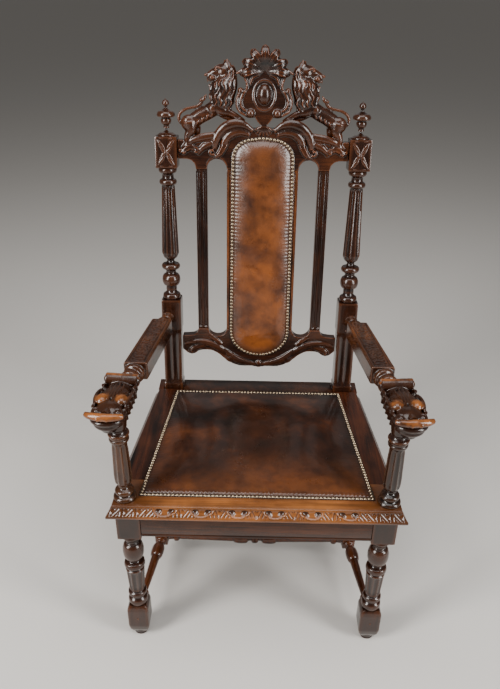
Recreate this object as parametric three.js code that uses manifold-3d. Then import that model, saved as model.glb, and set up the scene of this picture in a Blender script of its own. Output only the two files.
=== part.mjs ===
// A carved oak throne armchair with a leather seat and a leather back panel, in millimetres, +Z up.
// X runs to the sitter's left as seen from the front (to the right in a front view) and Y runs backwards.
// Every piece of joinery is its own closed solid, and pieces that touch keep the small gap FIT.
import * as THREE from "three";
import { mergeVertices } from "three/addons/utils/BufferGeometryUtils.js";
import Module from "manifold-3d";

const wasm = await Module();
wasm.setup();

// General
const FIT = 0.3;
const ROUND_SIDES = 8;
const FLUTE_COUNT = 8;
const FLUTE_DEPTH = 0.15;
const POINTED = 6.5;
const BEYOND = 3000;
const FACET_TOLERANCE = 0.28;
const LIMB_SIDES = 4;
const STRETCHER_SIDES = 6;
const FINIAL_SIDES = 7;

// Seat frame: four boards with a moulded and carved outer edge
const SEAT_TOP = 463;
const BOARD_THICK = 28;
const BOARD_WIDTH = 88;
const FRAME_FRONT_X = 325;
const FRAME_BACK_X = 274;
const FRAME_FRONT_Y = -31;
const FRAME_BACK_Y = 492;
const EDGE_STEP = 14;
const LUNETTE_COUNT = 6;
const LUNETTE_PITCH = 80;
const LUNETTE_RADIUS = 24;

// Rails under the boards
const RAIL_THICK = 26;
const RAIL_DEPTH = 70;

// Front legs, on centre lines LEG_X and y = 0
const LEG_X = 294;
const LEG_BLOCK = 56;
const LEG_BLOCK_BOTTOM = 355;
const LEG_BALL_Z = 295;
const LEG_BALL_R = 26;
const LEG_FLUTE_TOP = 240;
const LEG_FLUTE_BOTTOM = 164;
const LOWER_BLOCK = 53;
const LOWER_BLOCK_TOP = 114;
const LOWER_BLOCK_BOTTOM = 24;
const FOOT_R = 17;

// Back posts: one piece each, from the floor to the finial, leaning back above the seat
const POST_X = 240;
const POST_SQUARE = 53;
const POST_FRONT_Y = 445;
const RAKE_DEG = 6.4;
const REAR_FOOT_SWEEP = 34;
const REAR_FOOT_SQUARE = 38;
const ARM_BLOCK_BOTTOM = 190;
const ARM_BLOCK_TOP = 265;
const POST_CHAMFER = 7;
const SHAFT_BOTTOM = 386;
const SHAFT_TOP = 574;
const SHAFT_BOTTOM_R = 22.5;
const SHAFT_TOP_R = 16.5;
const TOP_BLOCK_BOTTOM = 615;
const TOP_BLOCK_LENGTH = 74;
const TOP_BLOCK_TOP = TOP_BLOCK_BOTTOM + TOP_BLOCK_LENGTH;
const TOP_BLOCK = 55;
const FINIAL_DISC_R = 21.8;

// Arm supports, standing on the seat frame above the front legs
const SUPPORT_X = 300;
const SUPPORT_TOP = 640;
const SUPPORT_BODY_BOTTOM = 508;
const SUPPORT_BODY_TOP = SUPPORT_TOP - 16;

// Arms, splayed towards the front, each carved with a lion mask
const ARM_BACK_X = 259;
const ARM_BACK_Y = 424;
const ARM_FRONT_X = 297;
const ARM_FRONT_Y = 215;
const ARM_FRONT_TOP = SUPPORT_TOP + 48;
const ARM_BACK_TOP = ARM_FRONT_TOP + 11;
const ARM_BACK_WIDTH = 53;
const ARM_FRONT_WIDTH = 57;
const ARM_THICK = 48;
const ARM_CHAMFER = 5;
const MASK_X = 316;
const MASK_HEIGHT = 80;
const MASK_TOP = SUPPORT_TOP + MASK_HEIGHT;
const MASK_YAW_DEG = 4;

// Stretchers
const STRETCHER_Z = 80;
const STRETCHER_BLOCK = 36;
const STRETCHER_BULB_R = 17;

// Back, in its own leaning frame: x across, y = 0 at the posts' front face, z up from the seat
const BACK_BOARD_FRONT = 13;
const BACK_BOARD_THICK = 27;
const SLAT_X = 154;
const SLAT_WIDTH = 28;
const SLAT_THICK = 20;
const PANEL_HALF = 90;
const CREST_SPRING = TOP_BLOCK_BOTTOM - 3;
const ARCH_RISE = 25;
const ARCH_TOP = CREST_SPRING + ARCH_RISE;
const CREST_BAND = 45;
const CREST_BAND_TOP = ARCH_TOP + CREST_BAND;
const RELIEF_HALF = 212.2;
const LOWER_SPRING = 180;
const LOWER_ARCH_DROP = 22;

// Leather
const PAD_HALF = 74;
const PAD_BOTTOM = 112;
const PAD_TOP = CREST_BAND_TOP + 2;
const PAD_THICK = 20;
const SEAT_PAD_FRONT_X = 266;
const SEAT_PAD_BACK_X = 227;
const SEAT_PAD_FRONT_Y = 5;
const SEAT_PAD_BACK_Y = 430;
const SEAT_PAD_EDGE = 6;
const SEAT_PAD_CROWN = 12;

// Finishes
const OAK = new THREE.MeshStandardMaterial({ color: 0x3a1f12, roughness: 0.38, metalness: 0 });
const LEATHER = new THREE.MeshStandardMaterial({ color: 0x5a2a10, roughness: 0.32, metalness: 0 });

// Meshes and solids

function toSolid(geometry) {
  const plain = new THREE.BufferGeometry();
  const source = geometry.index ? geometry.toNonIndexed() : geometry;
  plain.setAttribute("position", source.getAttribute("position"));
  const merged = mergeVertices(plain, 1e-3);
  return new wasm.Manifold(
    new wasm.Mesh({
      numProp: 3,
      vertProperties: merged.attributes.position.array,
      triVerts: new Uint32Array(merged.index.array),
    }),
  );
}

function toGeometry(solid) {
  const mesh = solid.getMesh();
  const count = mesh.vertProperties.length / mesh.numProp;
  const points = new Float32Array(count * 3);
  for (let i = 0; i < count; i++) {
    points.set(mesh.vertProperties.subarray(i * mesh.numProp, i * mesh.numProp + 3), i * 3);
  }
  const geometry = new THREE.BufferGeometry();
  geometry.setAttribute("position", new THREE.BufferAttribute(points, 3));
  geometry.setIndex(new THREE.BufferAttribute(new Uint32Array(mesh.triVerts), 1));
  return geometry;
}

function join(geometries) {
  const whole = geometries.map(toSolid).reduce((sum, piece) => sum.add(piece));
  return toGeometry(whole.simplify(FACET_TOLERANCE));
}

function cut(geometry, ...tools) {
  return toGeometry(tools.map(toSolid).reduce((whole, tool) => whole.subtract(tool), toSolid(geometry)));
}

function keepInside(geometry, bounds) {
  return toGeometry(toSolid(geometry).intersect(toSolid(bounds)));
}

function mirrored(geometry) {
  const flat = geometry.index ? geometry.toNonIndexed() : geometry.clone();
  flat.scale(-1, 1, 1);
  const p = flat.getAttribute("position");
  for (let i = 0; i < p.count; i += 3) {
    const a = [p.getX(i), p.getY(i), p.getZ(i)];
    p.setXYZ(i, p.getX(i + 1), p.getY(i + 1), p.getZ(i + 1));
    p.setXYZ(i + 1, ...a);
  }
  return flat;
}

function bothSides(geometries) {
  return [...geometries, ...geometries.map(mirrored)];
}

// A closed solid through rings that hold the same number of points each, anticlockwise seen from its far end.
function loft(rings) {
  const points = rings.flat();
  const n = rings[0].length;
  const triangles = [];
  for (let r = 0; r + 1 < rings.length; r++) {
    for (let i = 0; i < n; i++) {
      const a = r * n + i;
      const b = r * n + ((i + 1) % n);
      triangles.push(a, b, b + n, a, b + n, a + n);
    }
  }
  const last = (rings.length - 1) * n;
  for (let i = 1; i + 1 < n; i++) {
    triangles.push(0, i + 1, i, last, last + i, last + i + 1);
  }
  const geometry = new THREE.BufferGeometry();
  geometry.setAttribute("position", new THREE.Float32BufferAttribute(points.flat(), 3));
  geometry.setIndex(triangles);
  return geometry;
}

function box(x0, x1, y0, y1, z0, z1) {
  return new THREE.BoxGeometry(x1 - x0, y1 - y0, z1 - z0)
    .translate((x0 + x1) / 2, (y0 + y1) / 2, (z0 + z1) / 2);
}

// A lathe-turned length about a vertical axis. Each stop is [height, radius].
function turned(stops, x = 0, y = 0, sides = ROUND_SIDES) {
  return loft(stops.map(([z, r]) => Array.from({ length: sides }, (_, i) => {
    const angle = ((i + 0.5) / sides) * 2 * Math.PI;
    return [x + r * Math.cos(angle), y + r * Math.sin(angle), z];
  })));
}

// A tapered shaft with hollow flutes round it.
function fluted(stops, x = 0, y = 0) {
  const sides = FLUTE_COUNT * 2;
  return loft(stops.map(([z, r, full]) => Array.from({ length: sides }, (_, i) => {
    const angle = (i / sides) * 2 * Math.PI;
    const reach = r * (i % 2 && !full ? 1 - FLUTE_DEPTH : 1);
    return [x + reach * Math.cos(angle), y + reach * Math.sin(angle), z];
  })));
}

// A square length whose corners are chamfered. Each stop is [height, half side, chamfer].
function squared(stops, x = 0, y = 0) {
  return loft(stops.map(([z, h, c]) => [
    [x + h, y - h + c, z], [x + h, y + h - c, z], [x + h - c, y + h, z], [x - h + c, y + h, z],
    [x - h, y + h - c, z], [x - h, y - h + c, z], [x - h + c, y - h, z], [x + h - c, y - h, z],
  ]));
}

function ball(x, y, z, rx, ry = rx, rz = rx, sides = 8) {
  return new THREE.SphereGeometry(1, sides, Math.max(4, sides - 3)).rotateX(Math.PI / 2)
    .scale(rx, ry, rz).translate(x, y, z);
}

// A rounded, tapering form along a curve. Each stop is [x, y, z, half width, half depth]; the depth
// lies along the direction facing. An end that is no wider than POINTED is left flat.
function limb(stops, facing = [0, 1, 0], sides = LIMB_SIDES) {
  const curve = new THREE.CatmullRomCurve3(stops.map((s) => new THREE.Vector3(s[0], s[1], s[2])));
  const depthAxis = new THREE.Vector3(...facing);
  const last = stops.length - 1;
  const count = last;
  const rings = [];
  const ringAt = (t, share, push) => {
    const at = Math.min(t * last, last - 1e-9);
    const k = Math.floor(at);
    const f = at - k;
    const width = THREE.MathUtils.lerp(stops[k][3], stops[k + 1][3], f) * share;
    const depth = THREE.MathUtils.lerp(stops[k][4], stops[k + 1][4], f) * share;
    const along = curve.getTangent(t);
    const deep = depthAxis.clone().addScaledVector(along, -depthAxis.dot(along)).normalize();
    const wide = new THREE.Vector3().crossVectors(deep, along);
    const centre = curve.getPoint(t).addScaledVector(along, push * Math.min(width, depth) / share);
    rings.push(Array.from({ length: sides }, (_, i) => {
      const angle = ((i + 0.5) / sides) * 2 * Math.PI;
      return centre.clone().addScaledVector(wide, width * Math.cos(angle))
        .addScaledVector(deep, depth * Math.sin(angle)).toArray();
    }));
  };
  if (stops[0][3] > POINTED) ringAt(0, 0.45, -0.5);
  for (let i = 0; i <= count; i++) ringAt(i / count, 1, 0);
  if (stops[last][3] > POINTED) ringAt(1, 0.45, 0.5);
  return loft(rings);
}

// A flat board cut to an outline in the x-z plane, from depth front to depth front + thick.
function board(shape, front, thick, curveSegments = 4) {
  return new THREE.ExtrudeGeometry(shape, { depth: thick, bevelEnabled: false, curveSegments })
    .rotateX(Math.PI / 2).translate(0, front + thick, 0);
}

// Seat frame

// How far the moulded edge stands out at each level, from the board's underside up.
const EDGE_LEVELS = [
  [0, EDGE_STEP],
  [BOARD_THICK * 0.3, EDGE_STEP],
  [BOARD_THICK * 0.72, EDGE_STEP * 0.35],
  [BOARD_THICK * 0.8, 2],
  [BOARD_THICK, 0],
];
const BOARD_BOTTOM = SEAT_TOP - BOARD_THICK;
const SIDE_SLOPE = (FRAME_FRONT_X - FRAME_BACK_X) / (FRAME_BACK_Y - FRAME_FRONT_Y);
const frameEdgeX = (y) => FRAME_FRONT_X - SIDE_SLOPE * (y - FRAME_FRONT_Y);
const FRONT_BOARD_BACK = FRAME_FRONT_Y + BOARD_WIDTH;
const BACK_BOARD_Y = FRAME_BACK_Y - BOARD_WIDTH * 0.7;

// A half-round leaf carved on the front edge between two small eyes.
function lunette(x) {
  const face = FRAME_FRONT_Y - EDGE_STEP * 0.62;
  const level = BOARD_BOTTOM + BOARD_THICK * 0.72;
  const arc = [0, 1, 2, 3, 4].map((i) => {
    const angle = Math.PI * (1 + i / 4);
    return [x + LUNETTE_RADIUS * Math.cos(angle), face, level + 15 * Math.sin(angle), 1.8, 5.5];
  });
  return limb(arc);
}

function seatBoardFront() {
  const slab = loft(EDGE_LEVELS.map(([rise, out]) => [
    [frameEdgeX(FRAME_FRONT_Y) + out, FRAME_FRONT_Y - out, BOARD_BOTTOM + rise],
    [frameEdgeX(FRONT_BOARD_BACK) + out, FRONT_BOARD_BACK, BOARD_BOTTOM + rise],
    [-frameEdgeX(FRONT_BOARD_BACK) - out, FRONT_BOARD_BACK, BOARD_BOTTOM + rise],
    [-frameEdgeX(FRAME_FRONT_Y) - out, FRAME_FRONT_Y - out, BOARD_BOTTOM + rise],
  ]));
  const row = Array.from({ length: LUNETTE_COUNT }, (_, i) =>
    lunette((i - (LUNETTE_COUNT - 1) / 2) * LUNETTE_PITCH));
  return join([slab, ...row]);
}

function seatBoardSide() {
  const front = FRONT_BOARD_BACK + FIT;
  const slab = loft(EDGE_LEVELS.map(([rise, out]) => [
    [frameEdgeX(front) + out, front, BOARD_BOTTOM + rise],
    [frameEdgeX(FRAME_BACK_Y) + out, FRAME_BACK_Y, BOARD_BOTTOM + rise],
    [POST_X - POST_SQUARE / 2 - FIT, FRAME_BACK_Y, BOARD_BOTTOM + rise],
    [frameEdgeX(front) - BOARD_WIDTH, front, BOARD_BOTTOM + rise],
  ]));
  return cut(slab, postClearance());
}

// The post's section at seat height, grown by the fit, for cutting what stands round it.
function postClearance() {
  const half = POST_SQUARE / 2 + FIT;
  const front = POST_FRONT_Y - FIT;
  const lean = Math.tan(THREE.MathUtils.degToRad(RAKE_DEG)) * BOARD_THICK;
  return box(POST_X - half, POST_X + half, front - lean, FRAME_BACK_Y + BOARD_WIDTH, 0, SEAT_TOP * 2);
}

function seatBoardBack() {
  const half = POST_X - POST_SQUARE / 2 - 2 * FIT;
  return box(-half, half, BACK_BOARD_Y, FRAME_BACK_Y, BOARD_BOTTOM, SEAT_TOP);
}

// Rails

const RAIL_TOP = BOARD_BOTTOM - FIT;
const RAIL_BOTTOM = RAIL_TOP - RAIL_DEPTH;
const LEG_FACE = LEG_BLOCK / 2;

function frontRail() {
  const half = LEG_X - LEG_FACE - FIT;
  const front = -LEG_FACE + 1.5;
  return box(-half, half, front, front + RAIL_THICK, RAIL_BOTTOM, RAIL_TOP);
}

function backRail() {
  const half = POST_X - POST_SQUARE / 2 - FIT;
  const middle = POST_FRONT_Y + POST_SQUARE / 2;
  return box(-half, half, middle - RAIL_THICK / 2, middle + RAIL_THICK / 2, RAIL_BOTTOM, RAIL_TOP);
}

function sideRail() {
  const y0 = LEG_FACE + FIT;
  const y1 = POST_FRONT_Y - FIT - 3;
  const outer0 = LEG_X + LEG_FACE - 1.5;
  const outer1 = POST_X + POST_SQUARE / 2 - 1.5;
  return loft([RAIL_BOTTOM, RAIL_TOP].map((z) => [
    [outer0, y0, z], [outer1, y1, z], [outer1 - RAIL_THICK, y1, z], [outer0 - RAIL_THICK, y0, z],
  ]));
}

// Front legs

function frontLeg() {
  const half = LEG_BLOCK / 2;
  const low = LOWER_BLOCK / 2;
  const neckTop = LEG_BALL_Z + LEG_BALL_R;
  return join([
    squared([[LEG_BLOCK_BOTTOM, half, 1], [RAIL_TOP, half, 1]], LEG_X),
    turned([
      [LEG_FLUTE_TOP - 4, 20], [LEG_FLUTE_TOP + 6, 25], [LEG_FLUTE_TOP + 18, 25],
      [LEG_BALL_Z - LEG_BALL_R, 14], [LEG_BALL_Z - 17, 21.5], [LEG_BALL_Z, LEG_BALL_R],
      [LEG_BALL_Z + 17, 21.5], [neckTop + 2, 15], [neckTop + 12, 15], [LEG_BLOCK_BOTTOM - 9, 22.5],
      [LEG_BLOCK_BOTTOM + 2, 23],
    ], LEG_X),
    fluted([
      [LEG_FLUTE_BOTTOM - 6, 17, true], [LEG_FLUTE_BOTTOM, 18.5], [LEG_FLUTE_TOP - 6, 23],
      [LEG_FLUTE_TOP + 2, 22, true],
    ], LEG_X),
    turned([
      [LOWER_BLOCK_TOP - 6, 20], [LOWER_BLOCK_TOP + 6, 24], [LOWER_BLOCK_TOP + 16, 24],
      [LOWER_BLOCK_TOP + 24, 18], [LOWER_BLOCK_TOP + 34, 22.5], [LOWER_BLOCK_TOP + 42, 21],
      [LEG_FLUTE_BOTTOM - 2, 16.5],
    ], LEG_X),
    squared([
      [LOWER_BLOCK_BOTTOM - 6, low * 0.74, 6], [LOWER_BLOCK_BOTTOM + 8, low * 0.95, 2],
      [LOWER_BLOCK_BOTTOM + 24, low, 1], [LOWER_BLOCK_TOP - 14, low, 1],
      [LOWER_BLOCK_TOP, low * 0.82, 6],
    ], LEG_X),
    turned([[0, FOOT_R * 0.82], [6, FOOT_R], [LOWER_BLOCK_BOTTOM, FOOT_R * 1.1]], LEG_X),
  ]);
}

// Arm supports

function armSupport() {
  const foot = SEAT_TOP + FIT;
  return join([
    turned([
      [foot, 25], [foot + 5, 26.5], [foot + 10, 24], [foot + 13, 18], [foot + 19, 21.5],
      [foot + 25, 18], [foot + 33, 13], [SUPPORT_BODY_BOTTOM + 6, 14],
    ], SUPPORT_X),
    fluted([
      [SUPPORT_BODY_BOTTOM - 4, 14, true], [SUPPORT_BODY_BOTTOM + 8, 19.5], [SUPPORT_BODY_BOTTOM + 26, 20.5],
      [SUPPORT_BODY_TOP - 6, 17], [SUPPORT_BODY_TOP + 2, 16.5, true],
    ], SUPPORT_X),
    turned([
      [SUPPORT_BODY_TOP - 2, 15], [SUPPORT_BODY_TOP + 2, 20.5], [SUPPORT_BODY_TOP + 8, 21.5],
      [SUPPORT_TOP, 21],
    ], SUPPORT_X),
  ]);
}

// Arms

const MASK_BASE = SUPPORT_TOP + FIT;

// A roaring lion mask, its brow rolled over into a scroll, seen from its own middle line.
function lionMask() {
  const half = [
    ball(21, 40, MASK_TOP - 8, 14, 19, 12, 6),
    limb([[35, 100, MASK_TOP - 26, 8, 9], [39, 56, MASK_TOP - 36, 9, 10], [35, 8, MASK_TOP - 38, 6, 7]],
      [1, 0, 0]),
    limb([[33, 112, MASK_TOP - 48, 7, 8], [35, 62, MASK_TOP - 58, 8, 9], [30, 22, MASK_TOP - 52, 5, 6]],
      [1, 0, 0]),
  ];
  const lipHeight = MASK_TOP - 4;
  return join([
    ...bothSides(half),
    limb([[-35, 116, MASK_TOP - 13, 13, 13], [35, 116, MASK_TOP - 13, 13, 13]], [0, 0, 1], 6),
    limb([[0, 128, MASK_TOP - 43, 25, 22], [0, 84, MASK_TOP - 38, 35, 29], [0, 20, MASK_TOP - 33, 35, 27],
      [0, -24, MASK_TOP - 24, 28, 19]], [0, 0, 1], 6),
    limb([[0, 26, MASK_TOP - 12, 11, 8], [0, -34, MASK_TOP - 5, 12, 8]], [0, 0, 1]),
    limb([[-33, -24, lipHeight, 7, 6], [-16, -36, lipHeight, 11, 7], [0, -40, lipHeight + 1, 12, 8],
      [16, -36, lipHeight, 11, 7], [33, -24, lipHeight, 7, 6]], [0, 0, 1]),
    limb([[0, -26, MASK_TOP - 24, 28, 14], [0, -24, MASK_TOP - 42, 24, 14], [0, -14, MASK_TOP - 58, 15, 10]],
      [0, 1, 0], 6),
  ]).rotateZ(THREE.MathUtils.degToRad(MASK_YAW_DEG)).translate(MASK_X, 0, 0);
}

function arm() {
  const half = (w) => w / 2;
  const ring = (x, y, top, w) => {
    const h = half(w);
    const c = ARM_CHAMFER;
    const low = top - ARM_THICK;
    return [
      [x + h, y, low + c], [x + h - c, y, low], [x - h + c, y, low], [x - h, y, low + c],
      [x - h, y, top - c], [x - h + c, y, top], [x + h - c, y, top], [x + h, y, top - c],
    ];
  };
  const beam = loft([
    ring(ARM_FRONT_X, ARM_FRONT_Y, ARM_FRONT_TOP, ARM_FRONT_WIDTH),
    ring(ARM_BACK_X, ARM_BACK_Y, ARM_BACK_TOP, ARM_BACK_WIDTH),
  ]);
  const frontMid = ARM_FRONT_TOP - ARM_THICK / 2;
  const backMid = ARM_BACK_TOP - ARM_THICK / 2;
  const splay = Math.atan((ARM_FRONT_X - ARM_BACK_X) / (ARM_BACK_Y - ARM_FRONT_Y));
  const collar = turned([
    [-12, 21], [4, 21], [8, 25.5], [15, 25.5], [20, 20.5], [30, 20], [36, 24.5], [44, 24.5],
    [84, 20],
  ]).rotateX(Math.PI / 2).rotateZ(splay).translate(ARM_FRONT_X, ARM_FRONT_Y, frontMid);
  const knuckle = turned([
    [-12, 15], [2, 15], [7, 20.5], [18, 20.5], [25, 14], [34, 14], [62, 19],
  ]).rotateX(-Math.PI / 2).rotateZ(splay).translate(ARM_BACK_X, ARM_BACK_Y, backMid);
  const neck = turned([[MASK_BASE, 21.5], [MASK_BASE + 8, 21.5], [MASK_BASE + 22, 20],
    [(MASK_BASE + MASK_TOP) / 2, 22]], SUPPORT_X);
  const whole = join([beam, collar, knuckle, lionMask(), neck]);
  const floor = box(SUPPORT_X - 30, SUPPORT_X + 30, -30, 30, 0, MASK_BASE);
  return cut(whole, floor, postFaceTool());
}

// Everything behind a back post's leaning front face, less the fit.
function postFaceTool() {
  return box(-BEYOND, BEYOND, -FIT, BEYOND, -BEYOND, BEYOND)
    .rotateX(-THREE.MathUtils.degToRad(RAKE_DEG)).translate(0, POST_FRONT_Y, SEAT_TOP);
}

// Back posts

const BACK_MIDDLE = POST_SQUARE / 2;

// Four leaves in a saltire round a small rosette, carved on the front of each top block.
function blockLeaves() {
  const middle = (TOP_BLOCK_BOTTOM + TOP_BLOCK_TOP) / 2;
  const face = BACK_MIDDLE - TOP_BLOCK / 2;
  const reach = [TOP_BLOCK / 2 - 6, (TOP_BLOCK_TOP - TOP_BLOCK_BOTTOM) / 2 - 7];
  const leaves = [[1, 1], [1, -1], [-1, 1], [-1, -1]].map(([sx, sz]) => limb([
    [POST_X + sx * 4, face + 0.5, middle + sz * 5, 3, 2.5],
    [POST_X + sx * reach[0] * 0.62, face + 0.5, middle + sz * reach[1] * 0.62, 8, 4],
    [POST_X + sx * reach[0], face + 0.5, middle + sz * reach[1], 2.5, 2],
  ]));
  return [...leaves, ball(POST_X, face, middle, 6, 4, 6, 6)];
}

function backPost() {
  const half = POST_SQUARE / 2;
  const upper = join([
    squared([
      [-6, half, 2], [10, half, 2], [16, half, POST_CHAMFER], [ARM_BLOCK_BOTTOM - 12, half, POST_CHAMFER],
      [ARM_BLOCK_BOTTOM, half, 1], [ARM_BLOCK_TOP, half, 1],
    ], POST_X, BACK_MIDDLE),
    turned([
      [ARM_BLOCK_TOP - 2, 22], [ARM_BLOCK_TOP + 12, 23.5], [290, 14], [298, 13.5], [305, 20], [318, 24],
      [331, 20], [338, 14], [346, 15], [352, 23], [361, 23], [367, 12.5], [376, 12.5], [SHAFT_BOTTOM, 18],
    ], POST_X, BACK_MIDDLE),
    fluted([
      [SHAFT_BOTTOM - 6, 17, true], [SHAFT_BOTTOM + 8, SHAFT_BOTTOM_R], [SHAFT_BOTTOM + 92, 19.5],
      [SHAFT_TOP - 6, SHAFT_TOP_R], [SHAFT_TOP, SHAFT_TOP_R, true],
    ], POST_X, BACK_MIDDLE),
    turned([
      [SHAFT_TOP - 3, 15], [SHAFT_TOP, 21], [SHAFT_TOP + 8, 21.8], [SHAFT_TOP + 12, 15],
      [SHAFT_TOP + 22, 15], [SHAFT_TOP + 29, 22], [TOP_BLOCK_BOTTOM + 2, 22],
    ], POST_X, BACK_MIDDLE),
    squared([
      [TOP_BLOCK_BOTTOM, TOP_BLOCK / 2, 2], [TOP_BLOCK_TOP, TOP_BLOCK / 2, 2],
    ], POST_X, BACK_MIDDLE),
    ...blockLeaves(),
    turned([
      [TOP_BLOCK_TOP - 2, 22], [TOP_BLOCK_TOP + 4, 22], [TOP_BLOCK_TOP + 12, 14], [TOP_BLOCK_TOP + 18, 7],
      [TOP_BLOCK_TOP + 24, 7], [TOP_BLOCK_TOP + 38, 12], [TOP_BLOCK_TOP + 44, 13],
      [TOP_BLOCK_TOP + 47, 19.5], [TOP_BLOCK_TOP + 54, FINIAL_DISC_R], [TOP_BLOCK_TOP + 60, 12],
      [TOP_BLOCK_TOP + 65, 4], [TOP_BLOCK_TOP + 69, 4], [TOP_BLOCK_TOP + 75, 8], [TOP_BLOCK_TOP + 81, 7],
      [TOP_BLOCK_TOP + 86, 2.5],
    ], POST_X, BACK_MIDDLE, FINIAL_SIDES),
  ]);
  upper.rotateX(-THREE.MathUtils.degToRad(RAKE_DEG)).translate(0, POST_FRONT_Y, SEAT_TOP);
  const section = (z, y, h, c) => [
    [POST_X + h, y - h + c, z], [POST_X + h, y + h - c, z], [POST_X + h - c, y + h, z],
    [POST_X - h + c, y + h, z], [POST_X - h, y + h - c, z], [POST_X - h, y - h + c, z],
    [POST_X - h + c, y - h, z], [POST_X + h - c, y - h, z],
  ];
  const middle = POST_FRONT_Y + BACK_MIDDLE;
  const lower = loft([
    section(0, middle + REAR_FOOT_SWEEP, REAR_FOOT_SQUARE / 2, 3),
    section(STRETCHER_Z + 40, middle + REAR_FOOT_SWEEP * 0.62, half * 0.88, 3),
    section(RAIL_BOTTOM - 20, middle + 4, half, 3),
    section(RAIL_BOTTOM, middle, half, 1),
    section(SEAT_TOP, middle, half, 1),
  ]);
  return join([upper, lower]);
}

// Stretchers, low between the legs

const REAR_LEG_Y = POST_FRONT_Y + BACK_MIDDLE + REAR_FOOT_SWEEP * 0.72;
const REAR_LEG_FACE = POST_SQUARE / 2 * 0.84;

// Half a turned stretcher along +Z: a squared middle block, a bulb, a long taper and an end ring.
function stretcherHalf(length) {
  const start = STRETCHER_BLOCK / 2;
  return turned([
    [0, 12], [start + 5, 15], [start + 13, 11], [start + 22, 14.5], [start + 40, STRETCHER_BULB_R],
    [start + 62, 15.5], [length - 28, 9], [length - 21, 14], [length - 13, 14], [length, 11],
  ], 0, 0, STRETCHER_SIDES);
}

function sideStretcher() {
  const x0 = LEG_X;
  const y0 = LOWER_BLOCK / 2;
  const x1 = POST_X;
  const y1 = REAR_LEG_Y - REAR_LEG_FACE;
  const length = Math.hypot(x1 - x0, y1 - y0);
  const angle = Math.atan2(x0 - x1, y1 - y0);
  const half = STRETCHER_BLOCK / 2;
  const whole = join([
    stretcherHalf(length / 2 + 16),
    mirrored(stretcherHalf(length / 2 + 16).rotateY(Math.PI)),
    box(-half, half, -half, half, -half, half),
  ]).rotateX(-Math.PI / 2).rotateZ(angle).translate((x0 + x1) / 2, (y0 + y1) / 2, STRETCHER_Z);
  return cut(whole, legClearance(), rearLegClearance());
}

function legClearance() {
  const half = LOWER_BLOCK / 2 + FIT;
  return box(LEG_X - half - 40, LEG_X + half + 40, -half, half, 0, LOWER_BLOCK_TOP + 20);
}

// The space behind the swept rear leg's front face near the floor.
function rearLegClearance() {
  return toGeometry(toSolid(backPost()).subtract(toSolid(box(-BEYOND, BEYOND, -BEYOND, BEYOND, SEAT_TOP / 2, BEYOND))))
    .translate(0, -FIT, 0);
}

function crossStretcher() {
  const middleY = (LOWER_BLOCK / 2 + REAR_LEG_Y - REAR_LEG_FACE) / 2;
  const reach = (LEG_X + POST_X) / 2 - STRETCHER_BLOCK / 2 - FIT - 1.2;
  const whole = join([
    stretcherHalf(reach),
    mirrored(stretcherHalf(reach).rotateY(Math.PI)),
    ball(0, 0, 0, 17, 17, 20, 8),
  ]);
  return whole.rotateY(Math.PI / 2).translate(0, middleY, STRETCHER_Z);
}

// Back panel woodwork, in the leaning frame

const INNER_POST = POST_X - TOP_BLOCK / 2 - FIT;
const SLAT_IN = SLAT_X - SLAT_WIDTH / 2;
const SLAT_OUT = SLAT_X + SLAT_WIDTH / 2;

function backSlat() {
  const z0 = LOWER_SPRING + FIT;
  const z1 = CREST_SPRING - FIT;
  const front = BACK_BOARD_FRONT + 2;
  const slab = box(SLAT_IN, SLAT_OUT, front, front + SLAT_THICK, z0, z1);
  const groove = (x) => box(x - 3, x + 3, front - 1, front + 3, z0 + 12, z1 - 12);
  return cut(slab, groove(SLAT_X - 6), groove(SLAT_X + 6));
}

function splat() {
  const z0 = LOWER_SPRING + FIT;
  const z1 = CREST_SPRING - FIT;
  const back = BACK_BOARD_FRONT + BACK_BOARD_THICK;
  const bead = (side) => limb([
    [side * (PANEL_HALF - 4), BACK_BOARD_FRONT + 1, z0 + 4, 4, 4],
    [side * (PANEL_HALF - 4), BACK_BOARD_FRONT + 1, z1 - 4, 4, 4],
  ]);
  return join([box(-PANEL_HALF, PANEL_HALF, BACK_BOARD_FRONT, back, z0, z1), bead(1), bead(-1)]);
}

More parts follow.
